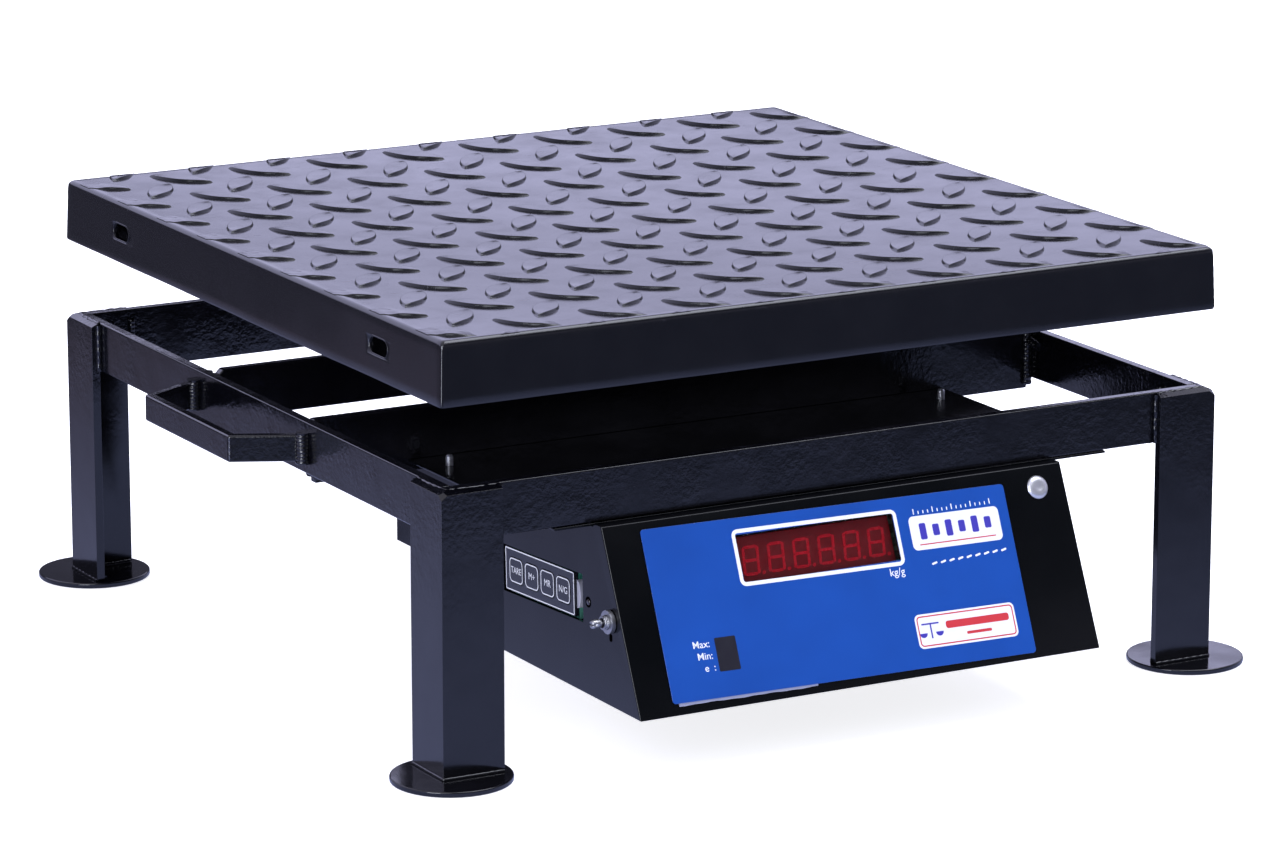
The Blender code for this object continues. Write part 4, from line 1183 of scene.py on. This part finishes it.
@dataclass
class WeighingCell:
    """Load cell on its base plate, the spider above it and the four rubber pads."""

    socket_radius: float = 2.9
    socket_depth: float = 2.4
    pad_squeeze: float = 1.8

    def build(self) -> None:
        """Round every part's edges, and make the bolts and pads in full."""
        on_stand = ["load_cell_base_plate", "load_cell", "load_cell_lower_spacer", "overload_stop"]
        on_carrier = ["load_cell_upper_spacer", "spider_plate", "spider_cross_bar_front", "spider_cross_bar_rear"]
        on_carrier += ["spider_side_bar_left", "spider_side_bar_right"]
        finishes = {"load_cell": ALUMINIUM, "overload_stop": ZINC}
        finishes.update({name: ALUMINIUM for name in ("load_cell_lower_spacer", "load_cell_upper_spacer")})
        for names, body in ((on_stand, Body.STAND), (on_carrier, Body.CARRIER)):
            for node in names:
                piece = softened(node, 0.5 if node.startswith("load_cell_") else 0.6)
                install(piece, finishes.get(node, ENAMEL), node, body=body)
        for index in (1, 2):
            self.bolt(f"lower_cell_bolt_{index}", -1, Body.STAND)
            self.bolt(f"upper_cell_bolt_{index}", 1, Body.CARRIER)
        for corner in ("front_left", "front_right", "rear_left", "rear_right"):
            self.pad("rubber_pad_" + corner)
        install(self.gauge_seal(), RUBBER)
        install(self.spider_welds(), ENAMEL, body=Body.CARRIER)

    def bolt(self, node: str, head_side: int, body: Body) -> None:
        """Hex-socket cap screw with a chamfered, socketed head and a threaded shank."""
        low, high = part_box(node)
        centre = (low + high) / 2
        length = (high.z - low.z) * 1000
        head, shank, socket = 5.5, 2.9, self.socket_radius
        profile = [(0.0, 0.0), (shank - 0.5, 0.0), (shank, 0.6), (shank, length - 4.0), (head, length - 4.0)]
        profile += [(head, length - 0.5), (head - 0.5, length), (socket + 0.2, length)]
        bottom = length - self.socket_depth
        profile += [(socket, length - 0.2), (socket, bottom), (0.0, bottom - 0.8)]
        piece = new_object(node + "_finished", turned(profile, 30), 35)
        if head_side > 0:
            place = Matrix.Translation((centre.x, centre.y, low.z))
        else:
            place = Matrix.Translation((centre.x, centre.y, high.z)) @ Matrix.Rotation(math.pi, 4, "X")
        piece.data.transform(place)
        install(piece, ZINC, node, body=body)
        ridge = ScrewThread(shank - 0.15, 1.0, length - 6.0)
        threads = ridge.run(node + "_thread", ZINC, place @ Matrix.Translation((0, 0, mm(0.8))))
        install(threads, ZINC, body=body)

    def pad(self, node: str) -> None:
        """Moulded rubber pad: three grip rings on a soft-edged button."""
        low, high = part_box(node)
        radius, height = (high.x - low.x) * 500, (high.z - low.z) * 1000 - self.pad_squeeze
        profile = [(0.0, height - 0.5), (2.2, height - 0.5), (2.6, height), (4.2, height), (4.6, height - 0.6)]
        profile += [(5.4, height - 0.6), (5.8, height - 0.1), (7.4, height - 0.1), (7.8, height - 0.8)]
        profile += [(8.6, height - 0.8), (9.0, height - 0.4)]
        profile += arc((radius - 1.8, height - 2.2), 1.8, 80, 0, 5)
        profile += [(radius - 0.2, height * 0.5), (radius, height * 0.3), (radius, 0.5)]
        profile += [(radius - 0.4, 0.0), (0.0, 0.0)]
        piece = new_object(node + "_finished", turned(profile, 48), 40)
        piece.data.transform(Matrix.Translation(((low.x + high.x) / 2, (low.y + high.y) / 2, low.z)))
        install(piece, RUBBER, node, body=Body.CARRIER)

    def gauge_seal(self) -> bpy.types.Object:
        """Sealant over the strain gauges, filling the cell's side pocket."""
        low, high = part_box("load_cell")
        centre = (low + high) / 2
        parts = []
        for side in (-1, 1):
            place = Matrix.Translation((centre.x, high.y if side > 0 else low.y, centre.z))
            turn = Matrix.Rotation(math.radians(-90 * side), 4, "X")
            parts.append(placed(prism(rounded(36.0, 12.0, 4.0, 8), -0.4, 0.5), place @ turn))
        rough = new_object("gauge_seal_rough", joined(parts))
        soft = rough.modifiers.new("soft", "BEVEL")
        soft.width = mm(0.3)
        soft.segments = 3
        return baked(rough, "load_cell_gauge_seal")

    def spider_welds(self) -> bpy.types.Object:
        """Short beads where the spider's bars cross."""
        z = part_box("spider_side_bar_left")[0].z
        paths = []
        for bar in ("spider_cross_bar_front", "spider_cross_bar_rear"):
            bar_low, bar_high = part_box(bar)
            for side in ("spider_side_bar_left", "spider_side_bar_right"):
                side_low, side_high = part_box(side)
                start, end = max(bar_low.x, side_low.x) + mm(2), min(bar_high.x, side_high.x) - mm(2)
                for y in (bar_low.y, bar_high.y):
                    paths.append([Vector((x, y, z)) for x in (start, (start + end) / 2, end)])
        return WeldBead("spider_welds", 1.3, 2.0, 0.25, 29).run(paths, world=True)


# ------------------------------------------------------------------ indicator housing


@dataclass
class Housing:
    """Folded sheet housing: cover, tray, top plate with its two screws, and rear fittings."""

    def build(self) -> None:
        """Round the folds and fit the screws, the grommet and the inlet."""
        for node, width in (("indicator_cover", 0.5), ("indicator_tray", 0.45), ("indicator_top_plate", 0.45)):
            dress(node, width, SHEET_ENAMEL, segments=3, angle=28.0, fold=1.1)
        for side in ("left", "right"):
            self.screw("top_plate_screw_" + side)
        dress("lead_grommet", 0.5, RUBBER)
        dress("charging_inlet", 0.3, ABS)

    def screw(self, node: str) -> None:
        """Pan-head screw from below: its threaded end stands above the plate."""
        low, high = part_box(node)
        length = (high.z - low.z) * 1000
        profile = [(0.0, length), (1.2, length), (1.6, length - 0.6), (1.7, length - 0.7), (1.7, 2.4), (3.5, 2.4)]
        profile += [(3.5, 1.8), (2.9, 0.5), (1.6, 0.0), (0.5, 0.0), (0.4, 0.9), (0.0, 0.9)]
        place = Matrix.Translation(((low.x + high.x) / 2, (low.y + high.y) / 2, low.z))
        piece = new_object(node + "_finished", turned(profile, 28), 35)
        piece.data.transform(place)
        install(piece, ZINC, node)
        start = place @ Matrix.Translation((0, 0, mm(2.7)))
        threads = ScrewThread(1.62, 0.7, length - 3.6).run(node + "_thread", ZINC, start)
        install(threads, ZINC)


# ------------------------------------------------------------------ printed front


@dataclass
class FrontPanel:
    """Overlay film with its prints, the display behind its window, and the sealing stud.

    Attributes:
        film_top: Height of the film's face over the sheet, in millimetres.
        ink: Thickness of a printed layer.
        tilt: Turn of the film as it was stuck on, in degrees.
    """

    film_top: float = 0.7
    ink: float = 0.05
    tilt: float = -0.8
    window: tuple[float, float, float, float] = (-19.8, 22.8, 80.6, 21.6)
    digit_height: float = 13.8
    digit_pitch: float = 12.9
    digit_depth: float = 3.0

    def build(self) -> None:
        """Build the film, prints, window, digits and stud."""
        dress("display_overlay", 0.16, BLUE_FILM)
        dress("display_window", 0.15, CLEAR)
        dress("display_digits", 0.4, RED_FACE)
        dress("display_board", 0.2, MASK)
        install(self.segments(), RED_BAR)
        self.prints()
        self.stud()
        # Painted highlight: a pale strip along the film's lifted lower left edge.
        install(self.film_edge_highlight(), EDGE_HIGHLIGHT)

    def layer(self, name: str, shapes: Sequence[bmesh.types.BMesh], finish: Finish) -> bpy.types.Object:
        """Join flat shapes, already on the slope, into one printed piece."""
        return install(new_object(name, joined(shapes)), finish)

    def words(self, text: str, size: float, x: float, down: float, align: str = "RIGHT") -> bmesh.types.BMesh:
        """Generic words printed on the film."""
        shape = lettering(text, size, align, self.film_top - 0.02, self.film_top + self.ink, 0.02)
        return placed(shape, FRONT.matrix(x, down, 0.0, self.tilt))

    def stamp(self, outline: Sequence[Point], x: float, down: float, lift: int = 0, turn: float = 0.0):
        """A printed shape at a place on the film; lift counts the inks below it."""
        low = self.film_top + self.ink * lift
        return placed(prism(outline, low - 0.02, low + self.ink), FRONT.matrix(x, down, 0.0, self.tilt + turn))

    def bar(self, width: float, height: float, radius: float, x: float, down: float, lift: int = 0, steps: int = 2):
        """A printed rounded bar."""
        return self.stamp(rounded(width, height, radius, steps), x, down, lift)

    def ring(self, width: float, height: float, line: float, radius: float, x: float, down: float, lift: int = 0):
        """A printed outline of a rounded rectangle."""
        outer = rounded(width, height, radius)
        inner = rounded(width - 2 * line, height - 2 * line, max(radius - line, 0.2))
        low = self.film_top + self.ink * lift
        return placed(ring_prism(outer, inner, low - 0.02, low + self.ink), FRONT.matrix(x, down, 0.0, self.tilt))

    def prints(self) -> None:
        """Display border, rule marks, unit mark and two plain labels."""
        centre_x, centre_s, width, height = self.window
        white = [self.ring(width + 3.7, height + 3.9, 1.75, 3.0, centre_x, centre_s)]
        for row, text in enumerate(("Max:", "Min:", "e  :")):
            white.append(self.words(text, 4.5, -83.4 + 0.4 * row, 57.6 + row * 5.3))
        white.append(self.words("kg/g", 4.9, 21.0, 38.9))
        white.append(self.bar(47.0, 15.5, 2.4, 51.5, 23.2, 0, 6))
        white.append(self.bar(52.0, 15.5, 2.4, 46.5, 67.2, 0, 6))
        for step in range(17):
            long = 2.6 if step % 4 == 0 else 1.5
            white.append(self.bar(0.5, long, 0.2, 31.5 + step * 2.5, 14.4 - long / 2))
        for step in range(9):
            white.append(self.stamp(rounded(2.9, 0.9, 0.4, 3), 37.0 + step * 4.6, 37.3 - 0.18 * step, 0, 14.0))
        self.layer("overlay_white_print", white, WHITE_INK)
        self.layer("overlay_dark_print", [self.bar(10.5, 15.0, 0.6, -75.7, 63.0, 0, 6)], BLACK_INK)
        violet = [self.bar(3.4, 5.2 if step % 2 else 7.4, 0.7, 34.5 + step * 6.8, 22.4, 1, 3) for step in range(6)]
        self.layer("overlay_violet_print", violet + self.balance(28.0, 67.0), VIOLET_INK)
        red = [self.ring(50.2, 13.7, 0.55, 1.8, 46.5, 67.2, 1), self.bar(40.0, 0.5, 0.2, 51.5, 28.6, 1)]
        red += [self.bar(33.0, 3.4, 1.2, 52.5, 65.6, 1, 4), self.bar(13.0, 1.3, 0.5, 52.5, 70.4, 1, 4)]
        self.layer("overlay_red_print", red, RED_INK)

    def balance(self, x: float, down: float) -> list[bmesh.types.BMesh]:
        """A plain beam-balance sign: post, beam and two pans."""
        parts = [self.bar(0.7, 7.0, 0.2, x, down, 1), self.bar(9.0, 0.7, 0.2, x, down - 3.2, 1)]
        return parts + [self.stamp(arc((0, 0), 2.0, 180, 360, 8), x + side * 4.2, down + 0.8, 1) for side in (-1, 1)]

    def segments(self) -> bpy.types.Object:
        """Six unlit seven-segment digits with their points, grown by geometry nodes."""
        bar = [(-3.3, 0.0), (-2.6, 0.7), (2.6, 0.7), (3.3, 0.0), (2.6, -0.7), (-2.6, -0.7)]
        sample = new_object("segment_sample", prism(bar, 0.0, 0.12))
        dot = new_object("point_sample", prism(arc((0, 0), 0.85, 0, 345, 23), 0.0, 0.12))
        values = {
            "Bar": sample,
            "Dot": dot,
            "Digits": 6,
            "Pitch": (mm(self.digit_pitch), 0.0, 0.0),
            "Start": (mm(-2.5 * self.digit_pitch), 0.0, 0.0),
            "Dot place": (mm(6.0), mm(-self.digit_height / 2 + 0.9), 0.0),
            "Slant": 0.12,
            "Material": RED_BAR.material(),
        }
        made = grow("display_segments", self.digit_tree(values), self.digit_layout(), values)
        bpy.data.objects.remove(sample)
        bpy.data.objects.remove(dot)
        x, down = self.window[:2]
        made.data.transform(FRONT.matrix(x - 0.6, down + 0.8, -self.digit_depth))
        return made

    def digit_layout(self) -> bmesh.types.BMesh:
        """Points where one digit's seven bars stand, each with its turn."""
        layout = bmesh.new()
        turn = layout.verts.layers.float.new("turn")
        half, quarter, side = self.digit_height / 2 - 0.85, self.digit_height / 4 - 0.42, 3.6
        spots = [(0, half, 0), (0, 0, 0), (0, -half, 0)]
        spots += [(x, y, 1) for x in (-side, side) for y in (-quarter, quarter)]
        for x, y, upright_bar in spots:
            layout.verts.new((mm(x), mm(y), 0.0))[turn] = upright_bar * math.pi / 2
        return layout

    @staticmethod
    def digit_tree(values: dict) -> bpy.types.NodeTree:
        """Put bars on the layout, repeat the digit along a line and lean the row."""
        tree, given = new_tree("seven_segment_digits", values)
        shape = add_node(tree, "GeometryNodeObjectInfo", {"Object": given["Bar"]}).outputs["Geometry"]
        point = add_node(tree, "GeometryNodeObjectInfo", {"Object": given["Dot"]}).outputs["Geometry"]
        angle = add_node(tree, "GeometryNodeInputNamedAttribute", {"Name": "turn"}, data_type="FLOAT").outputs[0]
        euler = add_node(tree, "ShaderNodeCombineXYZ", {"Z": angle}).outputs[0]
        spin = add_node(tree, "FunctionNodeEulerToRotation", {0: euler}).outputs[0]
        bars = {"Points": given["Geometry"], "Instance": shape, "Rotation": spin}
        digit = add_node(tree, "GeometryNodeInstanceOnPoints", bars).outputs[0]
        beside = add_node(tree, "GeometryNodeTransform", {"Geometry": point, "Translation": given["Dot place"]})
        both = add_node(tree, "GeometryNodeJoinGeometry")
        tree.links.new(digit, both.inputs[0])
        tree.links.new(beside.outputs[0], both.inputs[0])
        whole = add_node(tree, "GeometryNodeGeometryToInstance")
        tree.links.new(both.outputs[0], whole.inputs[0])
        line = {"Count": given["Digits"], "Start Location": given["Start"], "Offset": given["Pitch"]}
        row = add_node(tree, "GeometryNodeMeshLine", line).outputs[0]
        repeated = {"Points": row, "Instance": whole.outputs[0]}
        digits = add_node(tree, "GeometryNodeInstanceOnPoints", repeated).outputs[0]
        real = add_node(tree, "GeometryNodeRealizeInstances", {"Geometry": digits}).outputs[0]
        height = xyz(tree, add_node(tree, "GeometryNodeInputPosition").outputs[0])["Y"]
        offset = add_node(tree, "ShaderNodeCombineXYZ", {"X": calc(tree, "MULTIPLY", height, given["Slant"])})
        leaning = {"Geometry": real, "Offset": offset.outputs[0]}
        end_tree(tree, add_node(tree, "GeometryNodeSetPosition", leaning).outputs[0], given["Material"])
        return tree

    def stud(self) -> None:
        """Domed sealing stud, a little dented, with a rolled rim."""
        profile = [(0.0, 1.55), (1.5, 1.58), (2.0, 1.72), (3.2, 1.66), (4.1, 1.42)]
        profile += [(4.8, 1.0), (5.15, 0.6), (5.35, 0.25), (5.2, 0.0), (0.0, 0.0)]
        shape = placed(turned(profile, 44), FRONT.matrix(98.4, 10.1, 0.32))
        install(new_object("seal_stud_finished", shape, 50), ZINC, "seal_stud")

    def film_edge_highlight(self) -> bpy.types.Object:
        """Raised strip along the film's lifted lower left edge, coloured pale as a painted highlight of that edge."""
        shape = bmesh.new()
        steps = 26
        rings = []
        for step in range(steps + 1):
            x = -104.0 + 70.0 * step / steps
            wave = 0.1 * math.sin(step * 1.7) + 0.12 * math.sin(step * 0.6 + 1)
            down = 82.2 + 0.014 * (x + 104.5) + 0.35 * (1 - step / steps) ** 0.5 + wave
            top = 81.0 + 0.014 * (x + 104.5)
            section = ((top, 0.3), (top, 0.06), (down, 0.06), (down - 0.2, 0.26))
            rings.append([shape.verts.new(FRONT.matrix(x, depth, out).translation) for depth, out in section])
        bridge(shape, rings)
        shape.faces.new(rings[0])
        shape.faces.new(rings[-1])
        return new_object("overlay_adhesive", outward(shape))


# ------------------------------------------------------------------ keypad, lamp and switch


@dataclass
class Keypad:
    """Membrane keypad in the side cut-out: plate, four keys, their outlines and legends."""

    key_pitch: float = 14.8
    key_size: Point = (12.3, 11.1)
    plate_size: Point = (64.4, 19.4)
    plate_face: float = -0.6
    key_face: float = -0.45
    board_end: float = 32.8
    lamp: Point = (-191.5, 70.6)
    line: float = 0.55
    ink: float = 0.05
    sunk: float = 0.02
    legends: tuple[tuple[str, str], ...] = (
        ("key_tare", "TARE"),
        ("key_zero", "M+"),
        ("key_unit", "MR"),
        ("key_total", "N/G"),
    )

    def build(self) -> None:
        """Build the plate, prints, keys and lamp, with a ring of painted shade round the lamp."""
        dress("keypad_plate", 0.25, MEMBRANE)
        dress("keypad_board", 0.15, MASK)
        dress("charge_lamp", 0.25, RED_LENS)
        outside = Matrix.Translation(spot(-124.0, *self.lamp)) @ Matrix.Rotation(math.radians(-90), 4, "Y")
        # Painted shade: a near-black ring round the lamp stands for the shade in the gap between lens and hole.
        gap_shade = ring_prism(rounded(4.9, 4.9, 2.4), rounded(3.5, 3.5, 1.7), 0.02, 0.1)
        install(new_object("charge_lamp_gap", placed(gap_shade, outside)), HOLE_SHADE)
        border = self.outline(*self.plate_size, 0.7, 0.0, self.plate_face)
        install(new_object("keypad_border", border), WHITE_INK)
        for index, (name, legend) in enumerate(self.legends):
            body = Body(name + "_cap")
            along = (index - 1.5) * self.key_pitch
            dress(name, 0.12, MEMBRANE, body)
            size = 4.1 if len(legend) > 3 else 4.5
            letters = lettering(legend, size, "CENTER", self.key_face - self.sunk, self.key_face + self.ink)
            ring = self.outline(*self.key_size, 2.4, along, self.key_face)
            printed = new_object(name + "_print", joined((ring, placed(letters, SIDE.matrix(along)))))
            install(printed, WHITE_INK, body=body)
        turns = [math.radians(-90 + 15 * step) for step in range(13)]
        bulge = [(self.board_end + 3.6 * math.cos(turn), 6.4 * math.sin(turn)) for turn in turns]
        install(new_object("keypad_tape", placed(prism(bulge, -5.2, -1.7), SIDE.matrix(0.0))), WHITE_TAPE)

    def outline(self, width: float, height: float, radius: float, along: float, face: float) -> bmesh.types.BMesh:
        """A printed outline round a key or round the plate."""
        outer = rounded(width, height, radius)
        inner = rounded(width - 2 * self.line, height - 2 * self.line, max(radius - self.line, 0.1))
        return placed(ring_prism(outer, inner, face - self.sunk, face + self.ink), SIDE.matrix(along))


@dataclass
class ToggleSwitch:
    """Metal toggle switch: threaded bushing, round nut and a stubby lever with a slotted end."""

    pivot: tuple[float, float, float] = (-125.8, -212.0, 66.8)
    reach: float = 8.4
    slot: float = 0.9

    def build(self) -> None:
        """Build the switch body, nut, thread, the painted shade in the keyway notch, and the lever."""
        dress("power_switch_body", 0.2, NICKEL)
        dress("power_switch_nut", 0.35, NICKEL, segments=4)
        outside = Matrix.Translation(spot(*self.pivot)) @ Matrix.Rotation(math.radians(-90), 4, "Y")
        start = outside @ Matrix.Translation((0, 0, mm(0.5)))
        install(ScrewThread(2.88, 0.75, 1.9).run("power_switch_thread", NICKEL, start), NICKEL)
        # Painted shade: a near-black patch in the keyway notch below the nut stands for the shade inside the notch.
        key = prism(rounded(3.4, 2.3, 0.9, 4), -1.85, -1.66)
        keyway_shade = placed(key, outside @ Matrix.Translation((mm(-7.4), 0, 0)))
        install(new_object("power_switch_keyway", keyway_shade), HOLE_SHADE)
        install(self.lever(outside), NICKEL, "power_switch_lever", body=Body.LEVER)

    def lever(self, outside: Matrix) -> bpy.types.Object:
        """Turned lever on its ball, with a slot sawn across its end."""
        end = self.reach
        profile = [(0.0, end - 0.25), (1.2, end - 0.3), (1.7, end - 0.55), (1.95, end - 1.0), (2.02, end - 1.6)]
        profile += [(2.0, 4.6), (1.97, 4.0), (1.88, 3.55), (1.55, 3.2), (1.0, 2.9), (0.92, 1.75)]
        profile += arc((0, 0), 1.85, 55, -60, 7) + [(0.0, -1.7)]
        saw = new_object("lever_saw", prism(rounded(self.slot, 6.0, 0.1, 1), end - 2.4, end + 1.0))
        made = cut(new_object("lever_rough", turned(profile, 32), 50), saw, "power_switch_lever_finished")
        made.data.transform(outside)
        return made


@dataclass
class Electronics:
    """Main board with its chips, and the battery, out of sight in the housing."""

    def build(self) -> None:
        """Dress the board with chips and round the battery."""
        dress("main_board", 0.2, MASK)
        dress("battery", 1.5, ABS, segments=4)
        low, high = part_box("main_board")
        middle = (low + high) / 2
        chips = []
        for x, y, *size in ((-30, 10, 18, 18, 2.2), (8, -12, 12, 8, 1.8), (30, 16, 9, 14, 4.5), (-8, 20, 22, 6, 3.0)):
            place = Matrix.Translation((middle.x + mm(x), middle.y + mm(y), high.z))
            chips.append(placed(prism(rounded(size[0], size[1], 0.8), 0.0, size[2]), place))
        install(new_object("main_board_chips", joined(chips)), ABS)


# ------------------------------------------------------------------ studio


@dataclass(frozen=True)
class Studio:
    """White studio: a pale floor, cards that only reflections see, soft lights and the camera."""

    camera_place: tuple[float, float, float] = (-1268.95, -2299.35, 743.74)
    camera_turn: tuple[float, float, float] = (76.09, 0.0, -29.05)
    lens: float = 160.17
    table_drop: float = 120.0
    lamp_white: tuple[float, float, float] = (0.84, 0.88, 1.0)
    back_sky: tuple[float, float, float] = (1.1, 1.1, 1.6)
    top_sky: tuple[float, float, float] = (0.8, 0.8, 0.95)

    def build(self) -> None:
        """Build the floor, cards, world, lights and camera."""
        bpy.context.scene.view_settings.view_transform = "Standard"
        self.floor()
        self.table_card()
        self.edge_card()
        self.low_card()
        self.world()
        self.light("overhead", (650, -250, 1750), (0, 0, 100), 1300, 27.0)
        self.light("front_left", (-1500, -1700, 1100), (0, -100, 80), 900, 9.0)
        self.camera()

    def floor(self) -> None:
        """A large pale floor that reflections do not see."""
        shape = bmesh.new()
        bmesh.ops.create_grid(shape, x_segments=1, y_segments=1, size=30.0)
        floor = new_object("studio_floor", shape)
        paper = bpy.data.materials.new("white_paper_roll")
        paper.use_nodes = True
        shader = paper.node_tree.nodes["Principled BSDF"]
        shader.inputs["Base Color"].default_value = (0.93, 0.93, 0.93, 1.0)
        shader.inputs["Roughness"].default_value = 1.0
        shader.inputs["Specular IOR Level"].default_value = 0.0
        shader.inputs["Emission Color"].default_value = (1.0, 1.0, 1.0, 1.0)
        shader.inputs["Emission Strength"].default_value = 0.8
        floor.data.materials.append(paper)
        floor.location.z = -mm(0.2)
        floor.visible_glossy = False

    def card(self, name: str, shape: bmesh.types.BMesh) -> bpy.types.NodeTree:
        """A glowing card that only reflections see; returns its material's tree."""
        card = new_object(name, shape)
        glow = bpy.data.materials.new(name + "_glow")
        glow.use_nodes = True
        tree = glow.node_tree
        tree.nodes.clear()
        card.data.materials.append(glow)
        card.visible_camera = False
        card.visible_diffuse = False
        card.visible_shadow = False
        card.visible_transmission = False
        return tree

    @staticmethod
    def glow(tree, colour, strength) -> None:
        """End a card's tree with its glow."""
        glow = add_node(tree, "ShaderNodeEmission", {"Color": colour, "Strength": strength}).outputs[0]
        add_node(tree, "ShaderNodeOutputMaterial", {"Surface": glow})

    def table_card(self) -> None:
        """The lit table as the enamel mirrors it: bluish near the stand, dim further out."""
        shape = bmesh.new()
        bmesh.ops.create_grid(shape, x_segments=1, y_segments=1, size=30.0)
        bmesh.ops.translate(shape, verts=shape.verts, vec=(0, 0, -mm(self.table_drop)))
        tree = self.card("table_card", shape)
        parts = add_node(tree, "ShaderNodeSeparateXYZ", {0: object_coordinates(tree)})
        flat = add_node(tree, "ShaderNodeCombineXYZ", {"X": parts.outputs["X"], "Y": parts.outputs["Y"]}).outputs[0]
        away = add_node(tree, "ShaderNodeVectorMath", {0: flat}, operation="LENGTH").outputs["Value"]
        behind = remap(tree, parts.outputs["Y"], -0.6, 0.6, 0.0, 1.0)
        far = self.blend(tree, behind, (0.10, 0.12, 0.19), (0.22, 0.20, 0.30))
        near = self.blend(tree, behind, (0.55, 0.64, 1.15), (0.46, 0.50, 0.86))
        reach = remap(tree, away, 0.7, 1.25, 0.0, 1.0)
        colour = self.blend(tree, reach, near, far)
        heading = add_node(tree, "ShaderNodeVectorMath", {0: flat}, operation="NORMALIZE").outputs[0]
        corner = {0: heading, 1: (-0.93, -0.37, 0.0)}
        share = add_node(tree, "ShaderNodeVectorMath", corner, operation="DOT_PRODUCT").outputs["Value"]
        wedge = remap(tree, share, 0.945, 0.99, 0.0, 14.0)
        beyond = remap(tree, away, 0.92, 1.02, 0.0, 1.0)
        sums = {0: wedge, 1: beyond, 2: 1.0}
        lift = add_node(tree, "ShaderNodeMath", sums, operation="MULTIPLY_ADD").outputs[0]
        self.glow(tree, colour, lift)

    def edge_card(self) -> None:
        """A tall bright strip to the front left, caught only by rounded upright edges."""
        shape = bmesh.new()
        bmesh.ops.create_grid(shape, x_segments=1, y_segments=1, size=0.5)
        bmesh.ops.scale(shape, verts=shape.verts, vec=(0.42, 0.6, 1.0))
        toward = Vector((0.88, 0.48, 0.0))
        placed(shape, facing(toward, spot(-1000, -640, 255)))
        tree = self.card("edge_card", shape)
        self.glow(tree, (*self.lamp_white, 1.0), 12.0)

    def low_card(self) -> None:
        """A dim strip low behind the stand, mirrored by its discs and rails but not by the pan."""
        shape = bmesh.new()
        bmesh.ops.create_cube(shape, size=1.0, matrix=Matrix.Diagonal((4.0, 0.01, mm(292), 1.0)))
        bmesh.ops.translate(shape, verts=shape.verts, vec=spot(300, 700, 146))
        tree = self.card("low_card", shape)
        self.glow(tree, (0.11, 0.11, 0.16, 1.0), 1.0)

    def world(self) -> None:
        """Sky by direction: bright behind and overhead, dark in front."""
        world = bpy.data.worlds.new("studio_sky")
        bpy.context.scene.world = world
        world.use_nodes = True
        tree = world.node_tree
        toward = add_node(tree, "ShaderNodeTexCoord").outputs["Generated"]
        parts = add_node(tree, "ShaderNodeSeparateXYZ", {0: toward})
        behind = remap(tree, parts.outputs["Y"], -0.6, 0.75, 0.0, 1.0)
        above = remap(tree, parts.outputs["Z"], 0.55, 0.9, 0.0, 1.0)
        low = remap(tree, parts.outputs["Z"], 0.34, 0.22, 0.0, 1.0)
        front = self.blend(tree, low, (0.07, 0.08, 0.10), (0.42, 0.42, 0.56))
        around = self.blend(tree, behind, front, self.back_sky)
        colour = self.blend(tree, above, around, self.top_sky)
        tree.links.new(colour, tree.nodes["Background"].inputs["Color"])
        rise = remap(tree, parts.outputs["Z"], 0.17, 0.255, 0.78, 1.32)
        tree.links.new(rise, tree.nodes["Background"].inputs["Strength"])

    @staticmethod
    def blend(tree, factor, first, second) -> bpy.types.NodeSocket:
        """Mix two linear colours, given as numbers or as sockets."""
        sides = [(*side, 1.0) if isinstance(side, tuple) else side for side in (first, second)]
        return add_node(tree, "ShaderNodeMix", {0: factor, 6: sides[0], 7: sides[1]}, data_type="RGBA").outputs[2]

    def light(self, name: str, place, target, size: float, power: float) -> None:
        """One square area light that points at a target."""
        data = bpy.data.lights.new(name, "AREA")
        data.size = mm(size)
        data.energy = power
        data.color = self.lamp_white
        lamp = bpy.data.objects.new(name, data)
        lamp.matrix_world = facing(spot(*target) - spot(*place), spot(*place)) @ Matrix.Rotation(math.pi, 4, "X")
        bpy.context.scene.collection.objects.link(lamp)

    def camera(self) -> None:
        """The camera, a long lens from the front left."""
        data = bpy.data.cameras.new("camera")
        data.lens = self.lens
        data.sensor_width = 36.0
        data.clip_end = 100.0
        camera = bpy.data.objects.new("camera", data)
        camera.location = spot(*self.camera_place)
        camera.rotation_euler = [math.radians(angle) for angle in self.camera_turn]
        bpy.context.scene.collection.objects.link(camera)
        bpy.context.scene.camera = camera


def main() -> None:
    """Build every sub-assembly in order, then the studio."""
    logging.basicConfig(level=logging.INFO, format="%(name)s %(message)s")
    for kind in (Stand, WeighingCell, TreadPan, Housing, FrontPanel, Keypad, ToggleSwitch, Electronics):
        LOG.info("building %s", kind.__name__)
        kind().build()
    Studio().build()


if __name__ == "__main__":
    main()
